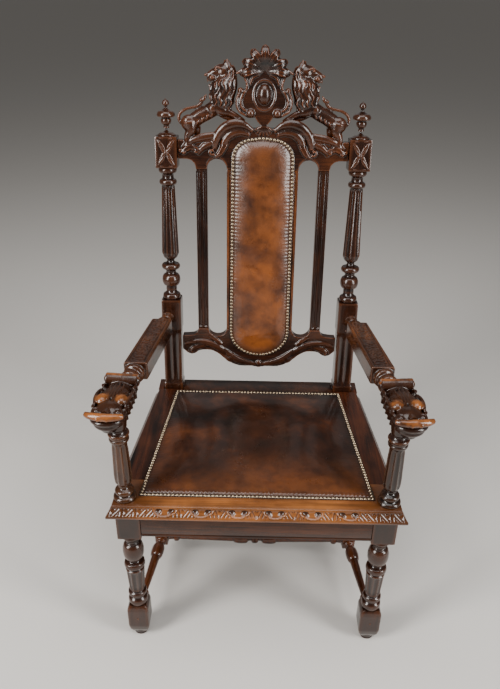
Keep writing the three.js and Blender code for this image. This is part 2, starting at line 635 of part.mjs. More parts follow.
// Outline of the crest rail's sawn board: straight band, slat stubs, arches and a raised middle.
function crestOutline() {
  const s = new THREE.Shape();
  const arch = (side) => s.absellipse(side * (PANEL_HALF + SLAT_IN) / 2, CREST_SPRING,
    (SLAT_IN - PANEL_HALF) / 2, ARCH_RISE, Math.PI, 0, true);
  const bulge = PANEL_HALF - 20;
  const hollow = SLAT_X - 4;
  s.moveTo(-PANEL_HALF, CREST_SPRING);
  s.lineTo(PANEL_HALF, CREST_SPRING);
  arch(1);
  s.lineTo(SLAT_OUT, CREST_SPRING);
  s.quadraticCurveTo(SLAT_OUT + 1, ARCH_TOP - 2, SLAT_OUT + 24, ARCH_TOP - 1);
  s.lineTo(INNER_POST, ARCH_TOP - 1);
  s.lineTo(INNER_POST, CREST_BAND_TOP);
  s.lineTo(INNER_POST - 12, CREST_BAND_TOP);
  s.quadraticCurveTo(INNER_POST - 36, CREST_BAND_TOP - 14, hollow, CREST_BAND_TOP - 4);
  s.quadraticCurveTo(PANEL_HALF + 26, CREST_BAND_TOP + 30, bulge, CREST_BAND_TOP + 40);
  s.lineTo(bulge - 30, CREST_BAND_TOP + 30);
  s.lineTo(30 - bulge, CREST_BAND_TOP + 30);
  s.lineTo(-bulge, CREST_BAND_TOP + 40);
  s.quadraticCurveTo(-PANEL_HALF - 26, CREST_BAND_TOP + 30, -hollow, CREST_BAND_TOP - 4);
  s.quadraticCurveTo(36 - INNER_POST, CREST_BAND_TOP - 14, 12 - INNER_POST, CREST_BAND_TOP);
  s.lineTo(-INNER_POST, CREST_BAND_TOP);
  s.lineTo(-INNER_POST, ARCH_TOP - 1);
  s.lineTo(-SLAT_OUT - 24, ARCH_TOP - 1);
  s.quadraticCurveTo(-SLAT_OUT - 1, ARCH_TOP - 2, -SLAT_OUT, CREST_SPRING);
  s.lineTo(-SLAT_IN, CREST_SPRING);
  arch(-1);
  return s;
}

// The carved part of the crest is drawn for a rail RELIEF_HALF wide to each side, with its heights
// from the top of the rail's straight band, and is then fitted to the rail.
function fitRelief(geometry) {
  const grow = INNER_POST / RELIEF_HALF;
  return geometry.scale(grow, 1, grow).translate(0, 0, CREST_BAND_TOP);
}

// The shield with its eaves, waist, curled ears and pointed foot.
function shieldOutline() {
  const s = new THREE.Shape();
  s.moveTo(0, 34);
  s.quadraticCurveTo(14, 40, 22, 56);
  s.quadraticCurveTo(34, 50, 47, 58);
  s.quadraticCurveTo(68, 70, 68, 89);
  s.quadraticCurveTo(68, 108, 58, 120);
  s.lineTo(44, 118);
  s.quadraticCurveTo(40, 130, 45, 144);
  s.lineTo(66, 154);
  s.quadraticCurveTo(48, 170, 24, 174);
  s.lineTo(-24, 174);
  s.quadraticCurveTo(-48, 170, -66, 154);
  s.lineTo(-45, 144);
  s.quadraticCurveTo(-40, 130, -44, 118);
  s.lineTo(-58, 120);
  s.quadraticCurveTo(-68, 108, -68, 89);
  s.quadraticCurveTo(-68, 70, -47, 58);
  s.quadraticCurveTo(-34, 50, -22, 56);
  s.quadraticCurveTo(-14, 40, 0, 34);
  return s;
}

const RELIEF = BACK_BOARD_FRONT + 8;

// One lion of the crest: rearing against the shield, its maned head turned outwards, roaring.
function crestLion() {
  const y = RELIEF;
  const flat = [0, 1, 0];
  const mane = [[88, y, 64, 20, 14], [100, y, 92, 31, 18], [95, y, 122, 33, 20], [84, y, 152, 23, 17],
    [82, y, 168, 12, 12]];
  return [
    limb([[184, y, 32, 17, 15], [158, y, 50, 19, 15], [130, y, 66, 20, 16], [108, y, 82, 23, 17]], flat, 6),
    limb(mane, flat, 7),
    limb([[96, y - 2, 154, 21, 17], [116, y - 2, 152, 16, 13], [136, y - 2, 144, 9, 9]], flat, 6),
    limb([[102, y - 1, 130, 12, 10], [118, y - 1, 121, 9, 8], [132, y - 1, 119, 6, 6]]),
    limb([[85, y - 4, 166, 6, 5], [88, y - 4, 179, 2.5, 3]]),
    limb([[118, y - 8, 78, 16, 10], [86, y - 8, 66, 10, 8], [60, y - 8, 52, 8, 7], [44, y - 8, 40, 10, 8]]),
    limb([[182, y - 8, 42, 20, 12], [180, y - 8, 18, 14, 10], [190, y - 8, 2, 8, 7],
      [186, y - 8, -14, 7, 6], [193, y - 8, -28, 10, 7]]),
    limb([[166, y + 6, 32, 12, 8], [166, y + 6, 12, 9, 7], [176, y + 6, -6, 6, 6], [174, y + 6, -24, 8, 6]]),
    limb([[196, y, 34, 5, 5], [208, y, 54, 4.5, 5], [190, y, 72, 4, 5], [164, y, 78, 4, 5],
      [148, y, 94, 10, 7]]),
  ];
}

// Acanthus that rolls out from under the shield along the rail.
function crestFoliage() {
  const y = BACK_BOARD_FRONT;
  return [
    limb([[42, y, 24, 10, 9], [74, y - 2, 34, 12, 12], [104, y - 2, 20, 13, 12], [136, y, 8, 9, 9],
      [166, y, 9, 3, 4]]),
    limb([[76, y, 18, 12, 12], [108, y, 0, 13, 12], [136, y, -8, 10, 9], [160, y, -15, 3, 4]]),
    limb([[66, y, 12, 12, 9], [90, y, -6, 8, 9], [88, y, -30, 4, 5]]),
    limb([[100, y, 8, 9, 11], [106, y, -18, 6, 8], [120, y, -34, 4, 5]]),
    ball(166, y, -25, 9, 7, 9, 6),
  ];
}

// Seven round-ended lobes fanned above the shield.
function palmette() {
  const y = RELIEF - 2;
  const root = 168;
  const lobes = [30, 56, 82].map((degrees) => {
    const angle = THREE.MathUtils.degToRad(degrees);
    const reach = 56 - degrees * 0.06;
    const across = Math.sin(angle) * reach;
    const up = Math.cos(angle) * reach * 0.74;
    return limb([[4, y, root, 6, 8], [across * 0.72, y - 4, root + up * 0.82, 10.5, 9],
      [across, y, root + up, 6, 6]]);
  });
  return [
    ...bothSides(lobes),
    limb([[0, y, root - 14, 8, 8], [0, y - 4, root + 22, 12.5, 9], [0, y, root + 39, 7.5, 6]]),
  ];
}

function crestRail() {
  const back = BACK_BOARD_FRONT + BACK_BOARD_THICK;
  const relief = [
    board(shieldOutline(), BACK_BOARD_FRONT - 8, BACK_BOARD_THICK + 8, 2),
    ball(0, BACK_BOARD_FRONT - 8, 108, 15, 12, 22, 8),
    ...bothSides([ball(33, BACK_BOARD_FRONT - 8, 64, 8.5, 7, 8.5, 6),
      ball(57, BACK_BOARD_FRONT - 4, 115, 7, 7, 7, 6)]),
    limb([[0, BACK_BOARD_FRONT, 36, 12, 10], [0, BACK_BOARD_FRONT, 14, 17, 6]]),
    ...palmette(),
    ...bothSides([...crestLion(), ...crestFoliage()]),
  ];
  const sawn = board(crestOutline(), BACK_BOARD_FRONT, BACK_BOARD_THICK, 3);
  const room = box(-INNER_POST, INNER_POST, -BEYOND, back, 0, BEYOND);
  return cut(keepInside(join([sawn, fitRelief(join(relief))]), room), padTool());
}

// Outline of the lower rail's sawn board, from the panel's foot down to two round lobes.
function lowerOutline() {
  const s = new THREE.Shape();
  const arch = (side) => s.absellipse(side * (PANEL_HALF + SLAT_IN) / 2, LOWER_SPRING,
    (SLAT_IN - PANEL_HALF) / 2, LOWER_ARCH_DROP, 0, Math.PI, true);
  const ledge = LOWER_SPRING - LOWER_ARCH_DROP;
  const drop = LOWER_SPRING - 112;
  s.moveTo(PANEL_HALF, LOWER_SPRING);
  s.lineTo(-PANEL_HALF, LOWER_SPRING);
  arch(-1);
  s.lineTo(-SLAT_OUT, LOWER_SPRING);
  s.quadraticCurveTo(-SLAT_OUT - 1, ledge + 3, -SLAT_OUT - 20, ledge + 2);
  s.lineTo(-INNER_POST, ledge);
  s.lineTo(-INNER_POST, ledge - 40);
  s.lineTo(14 - INNER_POST, drop + 38);
  s.quadraticCurveTo(30 - INNER_POST, drop + 30, -SLAT_OUT - 2, drop + 44);
  s.quadraticCurveTo(20 - SLAT_X, drop + 58, 50 - SLAT_X, drop + 30);
  s.quadraticCurveTo(14 - PANEL_HALF, drop + 2, 46 - PANEL_HALF, drop);
  s.quadraticCurveTo(-16, drop, 0, drop - 3);
  s.quadraticCurveTo(16, drop, PANEL_HALF - 46, drop);
  s.quadraticCurveTo(PANEL_HALF - 14, drop + 2, SLAT_X - 50, drop + 30);
  s.quadraticCurveTo(SLAT_X - 20, drop + 58, SLAT_OUT + 2, drop + 44);
  s.quadraticCurveTo(INNER_POST - 30, drop + 30, INNER_POST - 14, drop + 38);
  s.lineTo(INNER_POST, ledge - 40);
  s.lineTo(INNER_POST, ledge);
  s.lineTo(SLAT_OUT + 20, ledge + 2);
  s.quadraticCurveTo(SLAT_OUT + 1, ledge + 3, SLAT_OUT, LOWER_SPRING);
  s.lineTo(SLAT_IN, LOWER_SPRING);
  arch(1);
  return s;
}

function lowerRail() {
  const y = BACK_BOARD_FRONT;
  const leaves = [
    limb([[10, y, -104, 6, 7], [52, y - 1, -96, 12, 9], [92, y, -70, 11, 8], [128, y, -46, 9, 7],
      [168, y, -42, 8, 6], [200, y, -50, 4, 4]]),
    limb([[150, y, -46, 8, 7], [182, y, -60, 9, 7], [194, y, -68, 5, 5]]),
    limb([[96, y, -52, 7, 6], [112, y, -34, 7, 6], [136, y, -22, 4, 4]]),
  ];
  const grow = INNER_POST / RELIEF_HALF;
  const carved = join(bothSides(leaves)).scale(grow, 1, grow).translate(0, 0, LOWER_SPRING);
  return cut(join([board(lowerOutline(), y, BACK_BOARD_THICK, 3), carved]), padTool());
}

// Leather back panel: a long pad with a flattened round head and an oval foot.
function padShape(grow) {
  const half = PAD_HALF + grow;
  const top = PAD_TOP + grow;
  const bottom = PAD_BOTTOM - grow;
  const corner = 48 + grow;
  const foot = 64 + grow;
  const s = new THREE.Shape();
  s.moveTo(half, bottom + foot);
  s.lineTo(half, top - corner);
  s.absellipse(half - corner, top - corner, corner, corner - 4, 0, Math.PI / 2, false);
  s.quadraticCurveTo(0, top + 2, -half + corner, top - 4);
  s.absellipse(-half + corner, top - corner, corner, corner - 4, Math.PI / 2, Math.PI, false);
  s.lineTo(-half, bottom + foot);
  s.absellipse(0, bottom + foot, half, foot, Math.PI, 2 * Math.PI, false);
  return s;
}

function padTool() {
  return board(padShape(2.5), BACK_BOARD_FRONT - 40, 40, 6);
}

function backPad() {
  const back = BACK_BOARD_FRONT - FIT;
  const outline = padShape(0).getPoints(4);
  outline.pop();
  const middle = (PAD_TOP + PAD_BOTTOM) / 2;
  const levels = [[0, 1], [-0.35, 1], [-0.75, 0.9], [-1, 0.7]];
  const rings = levels.map(([deep, share]) => outline.map((p) => [
    p.x * share,
    back + deep * PAD_THICK,
    middle + (p.y - middle) * (1 - (1 - share) * PAD_HALF / ((PAD_TOP - PAD_BOTTOM) / 2)),
  ]));
  return loft(rings);
}

// Leather seat, laid over the frame boards and nailed round its edge
function seatPad() {
  const z = SEAT_TOP + FIT;
  const plan = (inset, level) => {
    const front = SEAT_PAD_FRONT_Y + inset;
    const rear = SEAT_PAD_BACK_Y - inset;
    const slope = (SEAT_PAD_FRONT_X - SEAT_PAD_BACK_X) / (SEAT_PAD_BACK_Y - SEAT_PAD_FRONT_Y);
    const edge = (y) => SEAT_PAD_FRONT_X - slope * (y - SEAT_PAD_FRONT_Y) - inset;
    return [[edge(front), front, level], [edge(rear), rear, level], [-edge(rear), rear, level],
      [-edge(front), front, level]];
  };
  return loft([
    plan(0, z), plan(0, z + SEAT_PAD_EDGE * 0.6), plan(8, z + SEAT_PAD_EDGE),
    plan(60, z + SEAT_PAD_CROWN * 0.9), plan(120, z + SEAT_PAD_CROWN),
  ]);
}

// The scene graph

function piece(name, geometry, material = OAK) {
  const mesh = new THREE.Mesh(geometry, material);
  mesh.name = name;
  return mesh;
}

const throne = new THREE.Group();

function addPair(parent, name, geometry, material = OAK) {
  parent.add(piece(name + "_right", geometry, material));
  parent.add(piece(name + "_left", mirrored(geometry), material));
}

addPair(throne, "front_leg", frontLeg());
addPair(throne, "back_post", backPost());
addPair(throne, "arm_support", armSupport());
addPair(throne, "arm", arm());
addPair(throne, "side_rail", sideRail());
addPair(throne, "side_stretcher", sideStretcher());
addPair(throne, "seat_board_side", seatBoardSide());
throne.add(piece("seat_board_front", seatBoardFront()));
throne.add(piece("seat_board_back", seatBoardBack()));
throne.add(piece("front_rail", frontRail()));
throne.add(piece("back_rail", backRail()));
throne.add(piece("cross_stretcher", crossStretcher()));
throne.add(piece("seat_leather", seatPad(), LEATHER));

const back = new THREE.Group();
back.position.set(0, POST_FRONT_Y, SEAT_TOP);
back.rotation.x = -THREE.MathUtils.degToRad(RAKE_DEG);
back.add(piece("crest_rail", crestRail()));
back.add(piece("lower_back_rail", lowerRail()));
back.add(piece("back_splat", splat()));
back.add(piece("back_leather", backPad(), LEATHER));
addPair(back, "back_slat", backSlat());
throne.add(back);

// The origin is on the floor, in the middle of the throne's overall box.
throne.updateMatrixWorld(true);
const extent = new THREE.Box3().setFromObject(throne, true);
throne.position.y = -(extent.min.y + extent.max.y) / 2;

export default throne;
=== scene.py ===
import math

import bmesh
import bpy
from mathutils import Euler, Matrix, Vector, noise


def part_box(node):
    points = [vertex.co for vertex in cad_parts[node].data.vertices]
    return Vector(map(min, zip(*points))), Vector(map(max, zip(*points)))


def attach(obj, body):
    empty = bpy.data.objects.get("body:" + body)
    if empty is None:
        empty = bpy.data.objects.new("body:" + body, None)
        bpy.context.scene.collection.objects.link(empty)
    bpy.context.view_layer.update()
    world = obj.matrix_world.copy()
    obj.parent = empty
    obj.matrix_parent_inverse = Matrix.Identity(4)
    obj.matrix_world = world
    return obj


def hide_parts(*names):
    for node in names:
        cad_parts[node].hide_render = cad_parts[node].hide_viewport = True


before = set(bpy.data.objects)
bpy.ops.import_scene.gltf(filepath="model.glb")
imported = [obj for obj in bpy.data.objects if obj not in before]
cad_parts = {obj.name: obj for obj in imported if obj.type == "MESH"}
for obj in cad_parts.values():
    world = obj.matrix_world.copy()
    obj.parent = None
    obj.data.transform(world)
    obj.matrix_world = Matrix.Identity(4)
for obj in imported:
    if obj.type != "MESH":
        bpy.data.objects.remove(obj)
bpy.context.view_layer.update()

# View and light
# The throne is seen from the front and from above, at standing eye height, on a plain pale ground,
# with a tall soft light on either side, a broad one overhead and a weak one behind.

FRAME_HEIGHT_PX = 689
FOCAL_PX = 660.1
EYE = Vector((-0.0134, -1.125, 1.518))
LOOK_DOWN_DEG = 30.0
LOOK_LEFT_DEG = 0.4
CAMERA_ROLL_DEG = 0.9
GROUND_REACH = 40.0

front_leg_low, front_leg_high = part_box("front_leg_right")
LEG_LINE_Y = (front_leg_low[1] + front_leg_high[1]) / 2
LEG_LINE_X = (front_leg_low[0] + front_leg_high[0]) / 2


def aim_camera():
    camera = bpy.data.cameras.new("view")
    camera.sensor_fit = "VERTICAL"
    camera.sensor_height = 36.0
    camera.lens = 36.0 * FOCAL_PX / FRAME_HEIGHT_PX
    camera.clip_start = 0.05
    camera.clip_end = 50.0
    holder = bpy.data.objects.new("view", camera)
    turn = Euler((math.radians(90 - LOOK_DOWN_DEG), 0, math.radians(LOOK_LEFT_DEG))).to_matrix()
    roll = Matrix.Rotation(math.radians(CAMERA_ROLL_DEG), 3, "Z")
    holder.rotation_euler = (turn @ roll).to_euler()
    holder.location = EYE + Vector((0, LEG_LINE_Y, 0))
    bpy.context.collection.objects.link(holder)
    bpy.context.scene.camera = holder


def soft_light(name, place, target, width, height, watts, colour=(1, 1, 1)):
    light = bpy.data.lights.new(name, "AREA")
    light.shape = "RECTANGLE"
    light.size = width
    light.size_y = height
    light.energy = watts
    light.color = colour
    holder = bpy.data.objects.new(name, light)
    holder.location = place
    holder.rotation_euler = (Vector(target) - Vector(place)).to_track_quat("-Z", "Y").to_euler()
    bpy.context.collection.objects.link(holder)


def new_material(name):
    material = bpy.data.materials.new(name)
    material.use_nodes = True
    return material, material.node_tree, material.node_tree.nodes["Principled BSDF"]


def pale_ground():
    bm = bmesh.new()
    bmesh.ops.create_grid(bm, x_segments=1, y_segments=1, size=GROUND_REACH)
    mesh = bpy.data.meshes.new("ground")
    bm.to_mesh(mesh)
    bm.free()
    ground = bpy.data.objects.new("ground", mesh)
    bpy.context.collection.objects.link(ground)
    material, _, shader = new_material("pale_ground")
    shader.inputs["Base Color"].default_value = (0.62, 0.6, 0.57, 1)
    shader.inputs["Roughness"].default_value = 0.85
    shader.inputs["Specular IOR Level"].default_value = 0.2
    mesh.materials.append(material)


def studio_light():
    world = bpy.data.worlds.new("studio")
    world.use_nodes = True
    world.node_tree.nodes["Background"].inputs["Color"].default_value = (1.0, 0.97, 0.94, 1)
    world.node_tree.nodes["Background"].inputs["Strength"].default_value = 0.15
    bpy.context.scene.world = world
    soft_light("key", (-2.0, -1.5, 2.0), (0, 0, 0.9), 0.8, 2.4, 118, (1.0, 0.97, 0.94))
    soft_light("fill", (2.1, -1.35, 1.7), (0, 0, 0.9), 0.7, 2.4, 84, (1.0, 0.98, 0.96))
    soft_light("top", (0, -0.5, 3.3), (0, 0, 0.5), 2.2, 1.6, 44)
    soft_light("back", (0, 2.6, 2.3), (0, 0, 0.8), 2.4, 1.6, 3)


aim_camera()
pale_ground()
studio_light()

# Front legs
# Each is one length of oak, turned and fluted between a square block that takes the rails and a
# lower block that takes the stretcher, with a small turned foot and a drawbore pin in its face.

MM = 0.001
SIDES = ((1, "right"), (-1, "left"))
TURNING_SIDES = 64
ARC_STEPS = 8
PROFILE_STEP = 4
FLUTE_END = 7
FLUTE_SHARE = 0.82


def outline(steps):
    """Heights and radii of a turned profile, from (height, radius) lines and
    (height, middle radius, end radius) beads or hollows."""
    points = []
    for step in steps:
        if len(step) == 2:
            last = points[-1] if points else step
            between = int(math.dist(last, step) / PROFILE_STEP)
            points += [(last[0] + (step[0] - last[0]) * i / (between + 1),
                        last[1] + (step[1] - last[1]) * i / (between + 1))
                       for i in range(1, between + 1)]
            points.append(step)
            continue
        height, middle, end = step
        start_height, start = points[-1]
        for i in range(1, ARC_STEPS + 1):
            angle = math.pi * i / ARC_STEPS
            along = (1 - math.cos(angle)) / 2
            straight = start + (end - start) * along
            swell = (middle - (start + end) / 2) * math.sin(angle)
            points.append((start_height + (height - start_height) * along, straight + swell))
    return points


def squared_reach(angle, half, chamfer):
    c, s = abs(math.cos(angle)), abs(math.sin(angle))
    return min(half / max(c, s), (2 * half - chamfer) / (c + s))


def turn_piece(steps, squares=(), flutes=(), sides=TURNING_SIDES):
    """A closed turned form about Z in millimetres. squares holds (low, high, half side, chamfer)
    and flutes holds (low, high, how many, depth)."""
    bm = bmesh.new()
    points = outline(steps)
    rim = [bm.verts.new((r, 0, z)) for z, r in points]
    edges = [bm.edges.new(pair) for pair in zip(rim, rim[1:])]
    bmesh.ops.spin(bm, geom=rim + edges, cent=(0, 0, 0), axis=(0, 0, 1), angle=2 * math.pi,
                   steps=sides, use_merge=True)
    bmesh.ops.remove_doubles(bm, verts=bm.verts, dist=0.001)
    for v in bm.verts:
        radius = math.hypot(v.co.x, v.co.y)
        if radius < 0.01:
            continue
        angle = math.atan2(v.co.y, v.co.x)
        reach = radius
        for low, high, half, chamfer in squares:
            if low <= v.co.z <= high:
                reach = squared_reach(angle, radius, chamfer * radius / half)
        for low, high, count, depth in flutes:
            if low < v.co.z < high:
                across = abs((angle * count / (2 * math.pi)) % 1 - 0.5) * 2
                ends = min(1, (v.co.z - low) / FLUTE_END, (high - v.co.z) / FLUTE_END)
                hollow = math.sqrt(max(0, 1 - (across / FLUTE_SHARE) ** 2))
                reach -= depth * math.sqrt(max(0, ends)) * hollow
        v.co.x *= reach / radius
        v.co.y *= reach / radius
    bmesh.ops.recalc_face_normals(bm, faces=bm.faces)
    return bm


def add_pin(bm, place, radius=3.2, stand=0.9):
    """The domed end of a drawbore pin, facing forwards."""
    turn = Matrix.Translation(place) @ Matrix.Rotation(math.pi / 2, 4, "X")
    bmesh.ops.create_cone(bm, cap_ends=True, segments=14, radius1=radius, radius2=radius * 0.8,
                          depth=2 * stand, matrix=turn)


def as_piece(bm, name, material, nodes, place=Matrix(), smooth_deg=40):
    """A finished piece at its place in metres, riding on the throne."""
    bmesh.ops.transform(bm, matrix=Matrix.Scale(MM, 4) @ place, verts=bm.verts)
    mesh = bpy.data.meshes.new(name)
    bm.to_mesh(mesh)
    bm.free()
    mesh.materials.append(material)
    if smooth_deg:
        mesh.shade_smooth()
        mesh.set_sharp_from_angle(angle=math.radians(smooth_deg))
    piece = bpy.data.objects.new(name, mesh)
    bpy.context.collection.objects.link(piece)
    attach(piece, "root")
    if nodes:
        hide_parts(*nodes)
    return piece


def cloud(tree, vector, scale, detail, rough=0.55, bend=0.0):
    texture = tree.nodes.new("ShaderNodeTexNoise")
    texture.inputs["Scale"].default_value = scale
    texture.inputs["Detail"].default_value = detail
    texture.inputs["Roughness"].default_value = rough
    texture.inputs["Distortion"].default_value = bend
    tree.links.new(vector, texture.inputs["Vector"])
    return texture.outputs["Fac"]


def ramp(tree, value, *stops):
    """Colours along a value, each stop as (place, colour)."""
    band = tree.nodes.new("ShaderNodeValToRGB")
    while len(band.color_ramp.elements) < len(stops):
        band.color_ramp.elements.new(0.5)
    for element, (at, colour) in zip(band.color_ramp.elements, stops):
        element.position = at
        element.color = (*colour, 1)
    tree.links.new(value, band.inputs["Fac"])
    return band.outputs["Color"]


def mixed(tree, kind, share, a, b):
    mix = tree.nodes.new("ShaderNodeMix")
    mix.data_type = "RGBA"
    mix.blend_type = kind
    for socket, value in ((mix.inputs[0], share), (mix.inputs[6], a), (mix.inputs[7], b)):
        if isinstance(value, (int, float)):
            socket.default_value = value
        elif isinstance(value, tuple):
            socket.default_value = (*value, 1)
        else:
            tree.links.new(value, socket)
    return mix.outputs[2]


def ranged(tree, value, low, high, start=0.0, stop=1.0):
    spread_out = tree.nodes.new("ShaderNodeMapRange")
    for name, number in (("From Min", start), ("From Max", stop), ("To Min", low), ("To Max", high)):
        spread_out.inputs[name].default_value = number
    tree.links.new(value, spread_out.inputs["Value"])
    return spread_out.outputs["Result"]


def bumped(tree, height, strength, distance, below=None):
    bump = tree.nodes.new("ShaderNodeBump")
    bump.inputs["Strength"].default_value = strength
    bump.inputs["Distance"].default_value = distance
    tree.links.new(height, bump.inputs["Height"])
    if below:
        tree.links.new(below, bump.inputs["Normal"])
    return bump.outputs["Normal"]


def oak(name, along="Z", dark=(0.0032, 0.0016, 0.0012), warm=(0.03, 0.009, 0.0038),
        worn=(0.16, 0.05, 0.015), wear=0.5, gloss=0.24, high=0.26, handled=None, shine=0.24):
    """Dark waxed oak, red brown where it is rubbed, with long pores and figure running along one axis.
    Its hollows are darkened to near black as painted shade over old wax. handled gives two heights in
    metres between which the wood turns to its worn colour."""
    material, tree, shader = new_material(name)
    links = tree.links
    where = tree.nodes.new("ShaderNodeTexCoord").outputs["Object"]

    def stretched(across, length, shift=0.0):
        mapping = tree.nodes.new("ShaderNodeMapping")
        scale = [across, across, across]
        scale["XYZ".index(along)] = length
        mapping.inputs["Scale"].default_value = scale
        mapping.inputs["Location"].default_value = (shift, shift * 0.7, shift * 1.3)
        links.new(where, mapping.inputs["Vector"])
        return mapping.outputs["Vector"]

    figure = cloud(tree, stretched(26, 3.2), 1.0, 5, 0.6, 0.6)
    pores = cloud(tree, stretched(420, 16, 3.1), 1.0, 3, 0.7)
    patches = cloud(tree, stretched(7, 7, 8.3), 1.0, 4, 0.6)
    between = tuple(0.45 * a + 0.55 * b for a, b in zip(dark, warm))
    base = ramp(tree, figure, (0.3, dark), (0.5, between), (0.72, warm))
    base = mixed(tree, "MULTIPLY", 0.75, base, ramp(tree, pores, (0.34, (0.32, 0.3, 0.3)),
                                                    (0.52, (1, 1, 1))))
    rubbed = ramp(tree, patches, (0.52 - 0.2 * wear, (0, 0, 0)),
                  (0.9 - 0.32 * wear, (wear, wear, wear)))
    base = mixed(tree, "MIX", rubbed, base, mixed(tree, "MIX", figure, warm, worn))
    streaks = cloud(tree, stretched(150, 5, 6.1), 1.0, 4, 0.6)
    base = mixed(tree, "MULTIPLY", 0.6, base, ramp(tree, streaks, (0.36, (0.4, 0.38, 0.36)),
                                                   (0.6, (1.35, 1.3, 1.25))))
    if handled:
        height = tree.nodes.new("ShaderNodeSeparateXYZ")
        links.new(where, height.inputs["Vector"])
        reach = ranged(tree, height.outputs["Z"], 0, 1, *handled)
        mottle = ramp(tree, cloud(tree, stretched(30, 30, 2.2), 1.0, 4), (0.38, (0.12, 0.12, 0.12)),
                      (0.6, (0.95, 0.95, 0.95)))
        base = mixed(tree, "MIX", mixed(tree, "MULTIPLY", 1.0, mottle, reach), base, worn)
    form = tree.nodes.new("ShaderNodeNewGeometry").outputs["Pointiness"]
    raised = ramp(tree, form, (0.505, (0, 0, 0)), (0.56, (high, high, high)))
    # Painted shade: concave places, found by pointiness, are darkened towards near black, together with
    # old wax in the hollows.
    hollow = ramp(tree, form, (0.42, (0.1, 0.09, 0.09)), (0.497, (1, 1, 1)))
    base = mixed(tree, "MIX", raised, base, worn)
    # This attribute darkens the wood: old wax on the lion masks away from their rubbed parts, and
    # painted shade in the deep hollows of the front seat board's carving, which also darkens towards
    # its ends.
    wax_and_painted_shade = tree.nodes.new("ShaderNodeAttribute")
    wax_and_painted_shade.attribute_name = "wax_and_painted_shade"
    base = mixed(tree, "MIX", wax_and_painted_shade.outputs["Fac"], base, tuple(0.65 * shade for shade in between))
    base = mixed(tree, "MULTIPLY", 1.0, base, hollow)
    links.new(base, shader.inputs["Base Color"])
    sheen = ranged(tree, cloud(tree, stretched(40, 12, 5.7), 1.0, 4, 0.6), gloss - 0.1, gloss + 0.07)
    links.new(sheen, shader.inputs["Roughness"])
    shader.inputs["Specular IOR Level"].default_value = 0.22 + shine
    shader.inputs["Coat Weight"].default_value = shine
    shader.inputs["Coat Roughness"].default_value = 0.1
    grain = bumped(tree, pores, 0.14, 0.0004)
    links.new(bumped(tree, cloud(tree, stretched(60, 30, 1.9), 1.0, 3), 0.24, 0.002, grain),
              shader.inputs["Normal"])
    return material


oak_upright = oak("oak_upright", "Z", wear=0.3, warm=(0.029, 0.0086, 0.0036))

LEG_BLOCK_HALF = 28
LOWER_BLOCK_HALF = 26.5
LEG_FLUTES = 10
LEG_PIN_HEIGHT = 72

leg_steps = [
    (0, 0), (0, 14), (5, 17, 16.5), (17, 17.5), (18, 19), (30, 24), (44, 26.5), (100, 26.5),
    (107, 25), (114, 21.5), (115, 19), (117, 22), (134, 24.2, 21), (137, 19), (145, 17.5, 19.5),
    (146, 21.5), (156, 22.8, 21), (158, 19), (164, 16.5, 18.2), (166, 19.4), (236, 23), (238, 21),
    (243, 19.5, 22), (245, 23.5), (259, 25.2, 22), (261, 17), (267, 14.5, 15), (269, 16),
    (321, 25.4, 16), (323, 15.5), (340, 14.5, 19), (342, 22), (350, 23.6, 21), (354.4, 21),
    (355, LEG_BLOCK_HALF - 1), (356, LEG_BLOCK_HALF), (434, LEG_BLOCK_HALF),
    (434.7, LEG_BLOCK_HALF - 0.7), (434.7, 0),
]
leg_squares = [(17.9, 114.2, LOWER_BLOCK_HALF, 3), (354.8, 434.8, LEG_BLOCK_HALF, 1.2)]
leg_flutes = [(167, 236, LEG_FLUTES, 3.0)]

for side, name in SIDES:
    leg = turn_piece(leg_steps, leg_squares, leg_flutes)
    add_pin(leg, (0, -LOWER_BLOCK_HALF, LEG_PIN_HEIGHT))
    as_piece(leg, "turned_front_leg_" + name, oak_upright, ["front_leg_" + name],
             Matrix.Translation((side * LEG_LINE_X / MM, LEG_LINE_Y / MM, 0)))

# Back posts
# Each is one length of oak from the floor to the finial: a plain rear leg that kicks back, a
# channelled square above the seat, then a turned and fluted shaft and a carved block. The post
# leans back from the seat upwards and takes the arm, both back rails and the crest.

SEAT_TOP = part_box("seat_board_front")[1][2] / MM
FLOOR_Y = LEG_LINE_Y / MM
POST_X = 240
POST_HALF = 26.5
POST_FRONT = FLOOR_Y + 445
RAKE = math.radians(6.4)
BACK = Matrix.Translation((0, POST_FRONT, SEAT_TOP)) @ Matrix.Rotation(-RAKE, 4, "X")
LEG_KICK = ((-463, 34), (-343, 21), (-118, 4), (-98, 0))
CARVED_BLOCK_HALF = 27.4
CARVED_BLOCK_MIDDLE = 652
CHANNEL_LOW = 22
CHANNEL_HIGH = 168
CHANNEL_OFF = 8.4
CHANNEL_HALF = 7
CHANNEL_DEPTH = 2.6
BEAD_PITCH = 6.1
BEAD_COUNT = 23

post_steps = [
    (-463, 0), (-463, 19), (-343, 23.4), (-118, 26.5), (14, 26.5), (18, 24.6), (172, 24.6),
    (178, 26.5), (262, 26.5), (265, 25.5), (265.5, 22), (267, 22.6), (279, 23.8, 21), (281, 18),
    (290, 14.6, 14.4), (301, 14.2), (302, 16), (334, 24.2, 16), (336, 14.5), (346, 13.4, 15),
    (348, 19), (363, 24.4, 19), (365, 14.5), (377, 9.8, 14), (380, 17.5), (384, 19.2),
    (392, 22.4), (478, 19.4), (566, 16.6), (569, 16), (571, 18.5), (584, 22, 18), (586, 15.4),
    (597, 14.4, 15.6), (600, 19), (613, 23, 20), (614, 22), (614.5, 26.8), (616, CARVED_BLOCK_HALF),
    (688, CARVED_BLOCK_HALF), (689.6, 26.8), (690, 22), (693, 22.4, 21.4), (697, 15.8), (708, 3.2, 6.8),
    (714, 6.9), (716, 8.6), (730, 12.6, 11), (732, 12), (733, 18), (748, 22.2, 15), (751, 9),
    (754, 4.2), (758, 3.8, 4.2), (760, 5), (774, 8.3, 2.4), (776, 1.2), (776.5, 0),
]
post_squares = [(-464, 265.2, POST_HALF, 2.4), (614.3, 689.8, CARVED_BLOCK_HALF, 2.4)]
post_flutes = [(385, 568, 10, 2.6)]


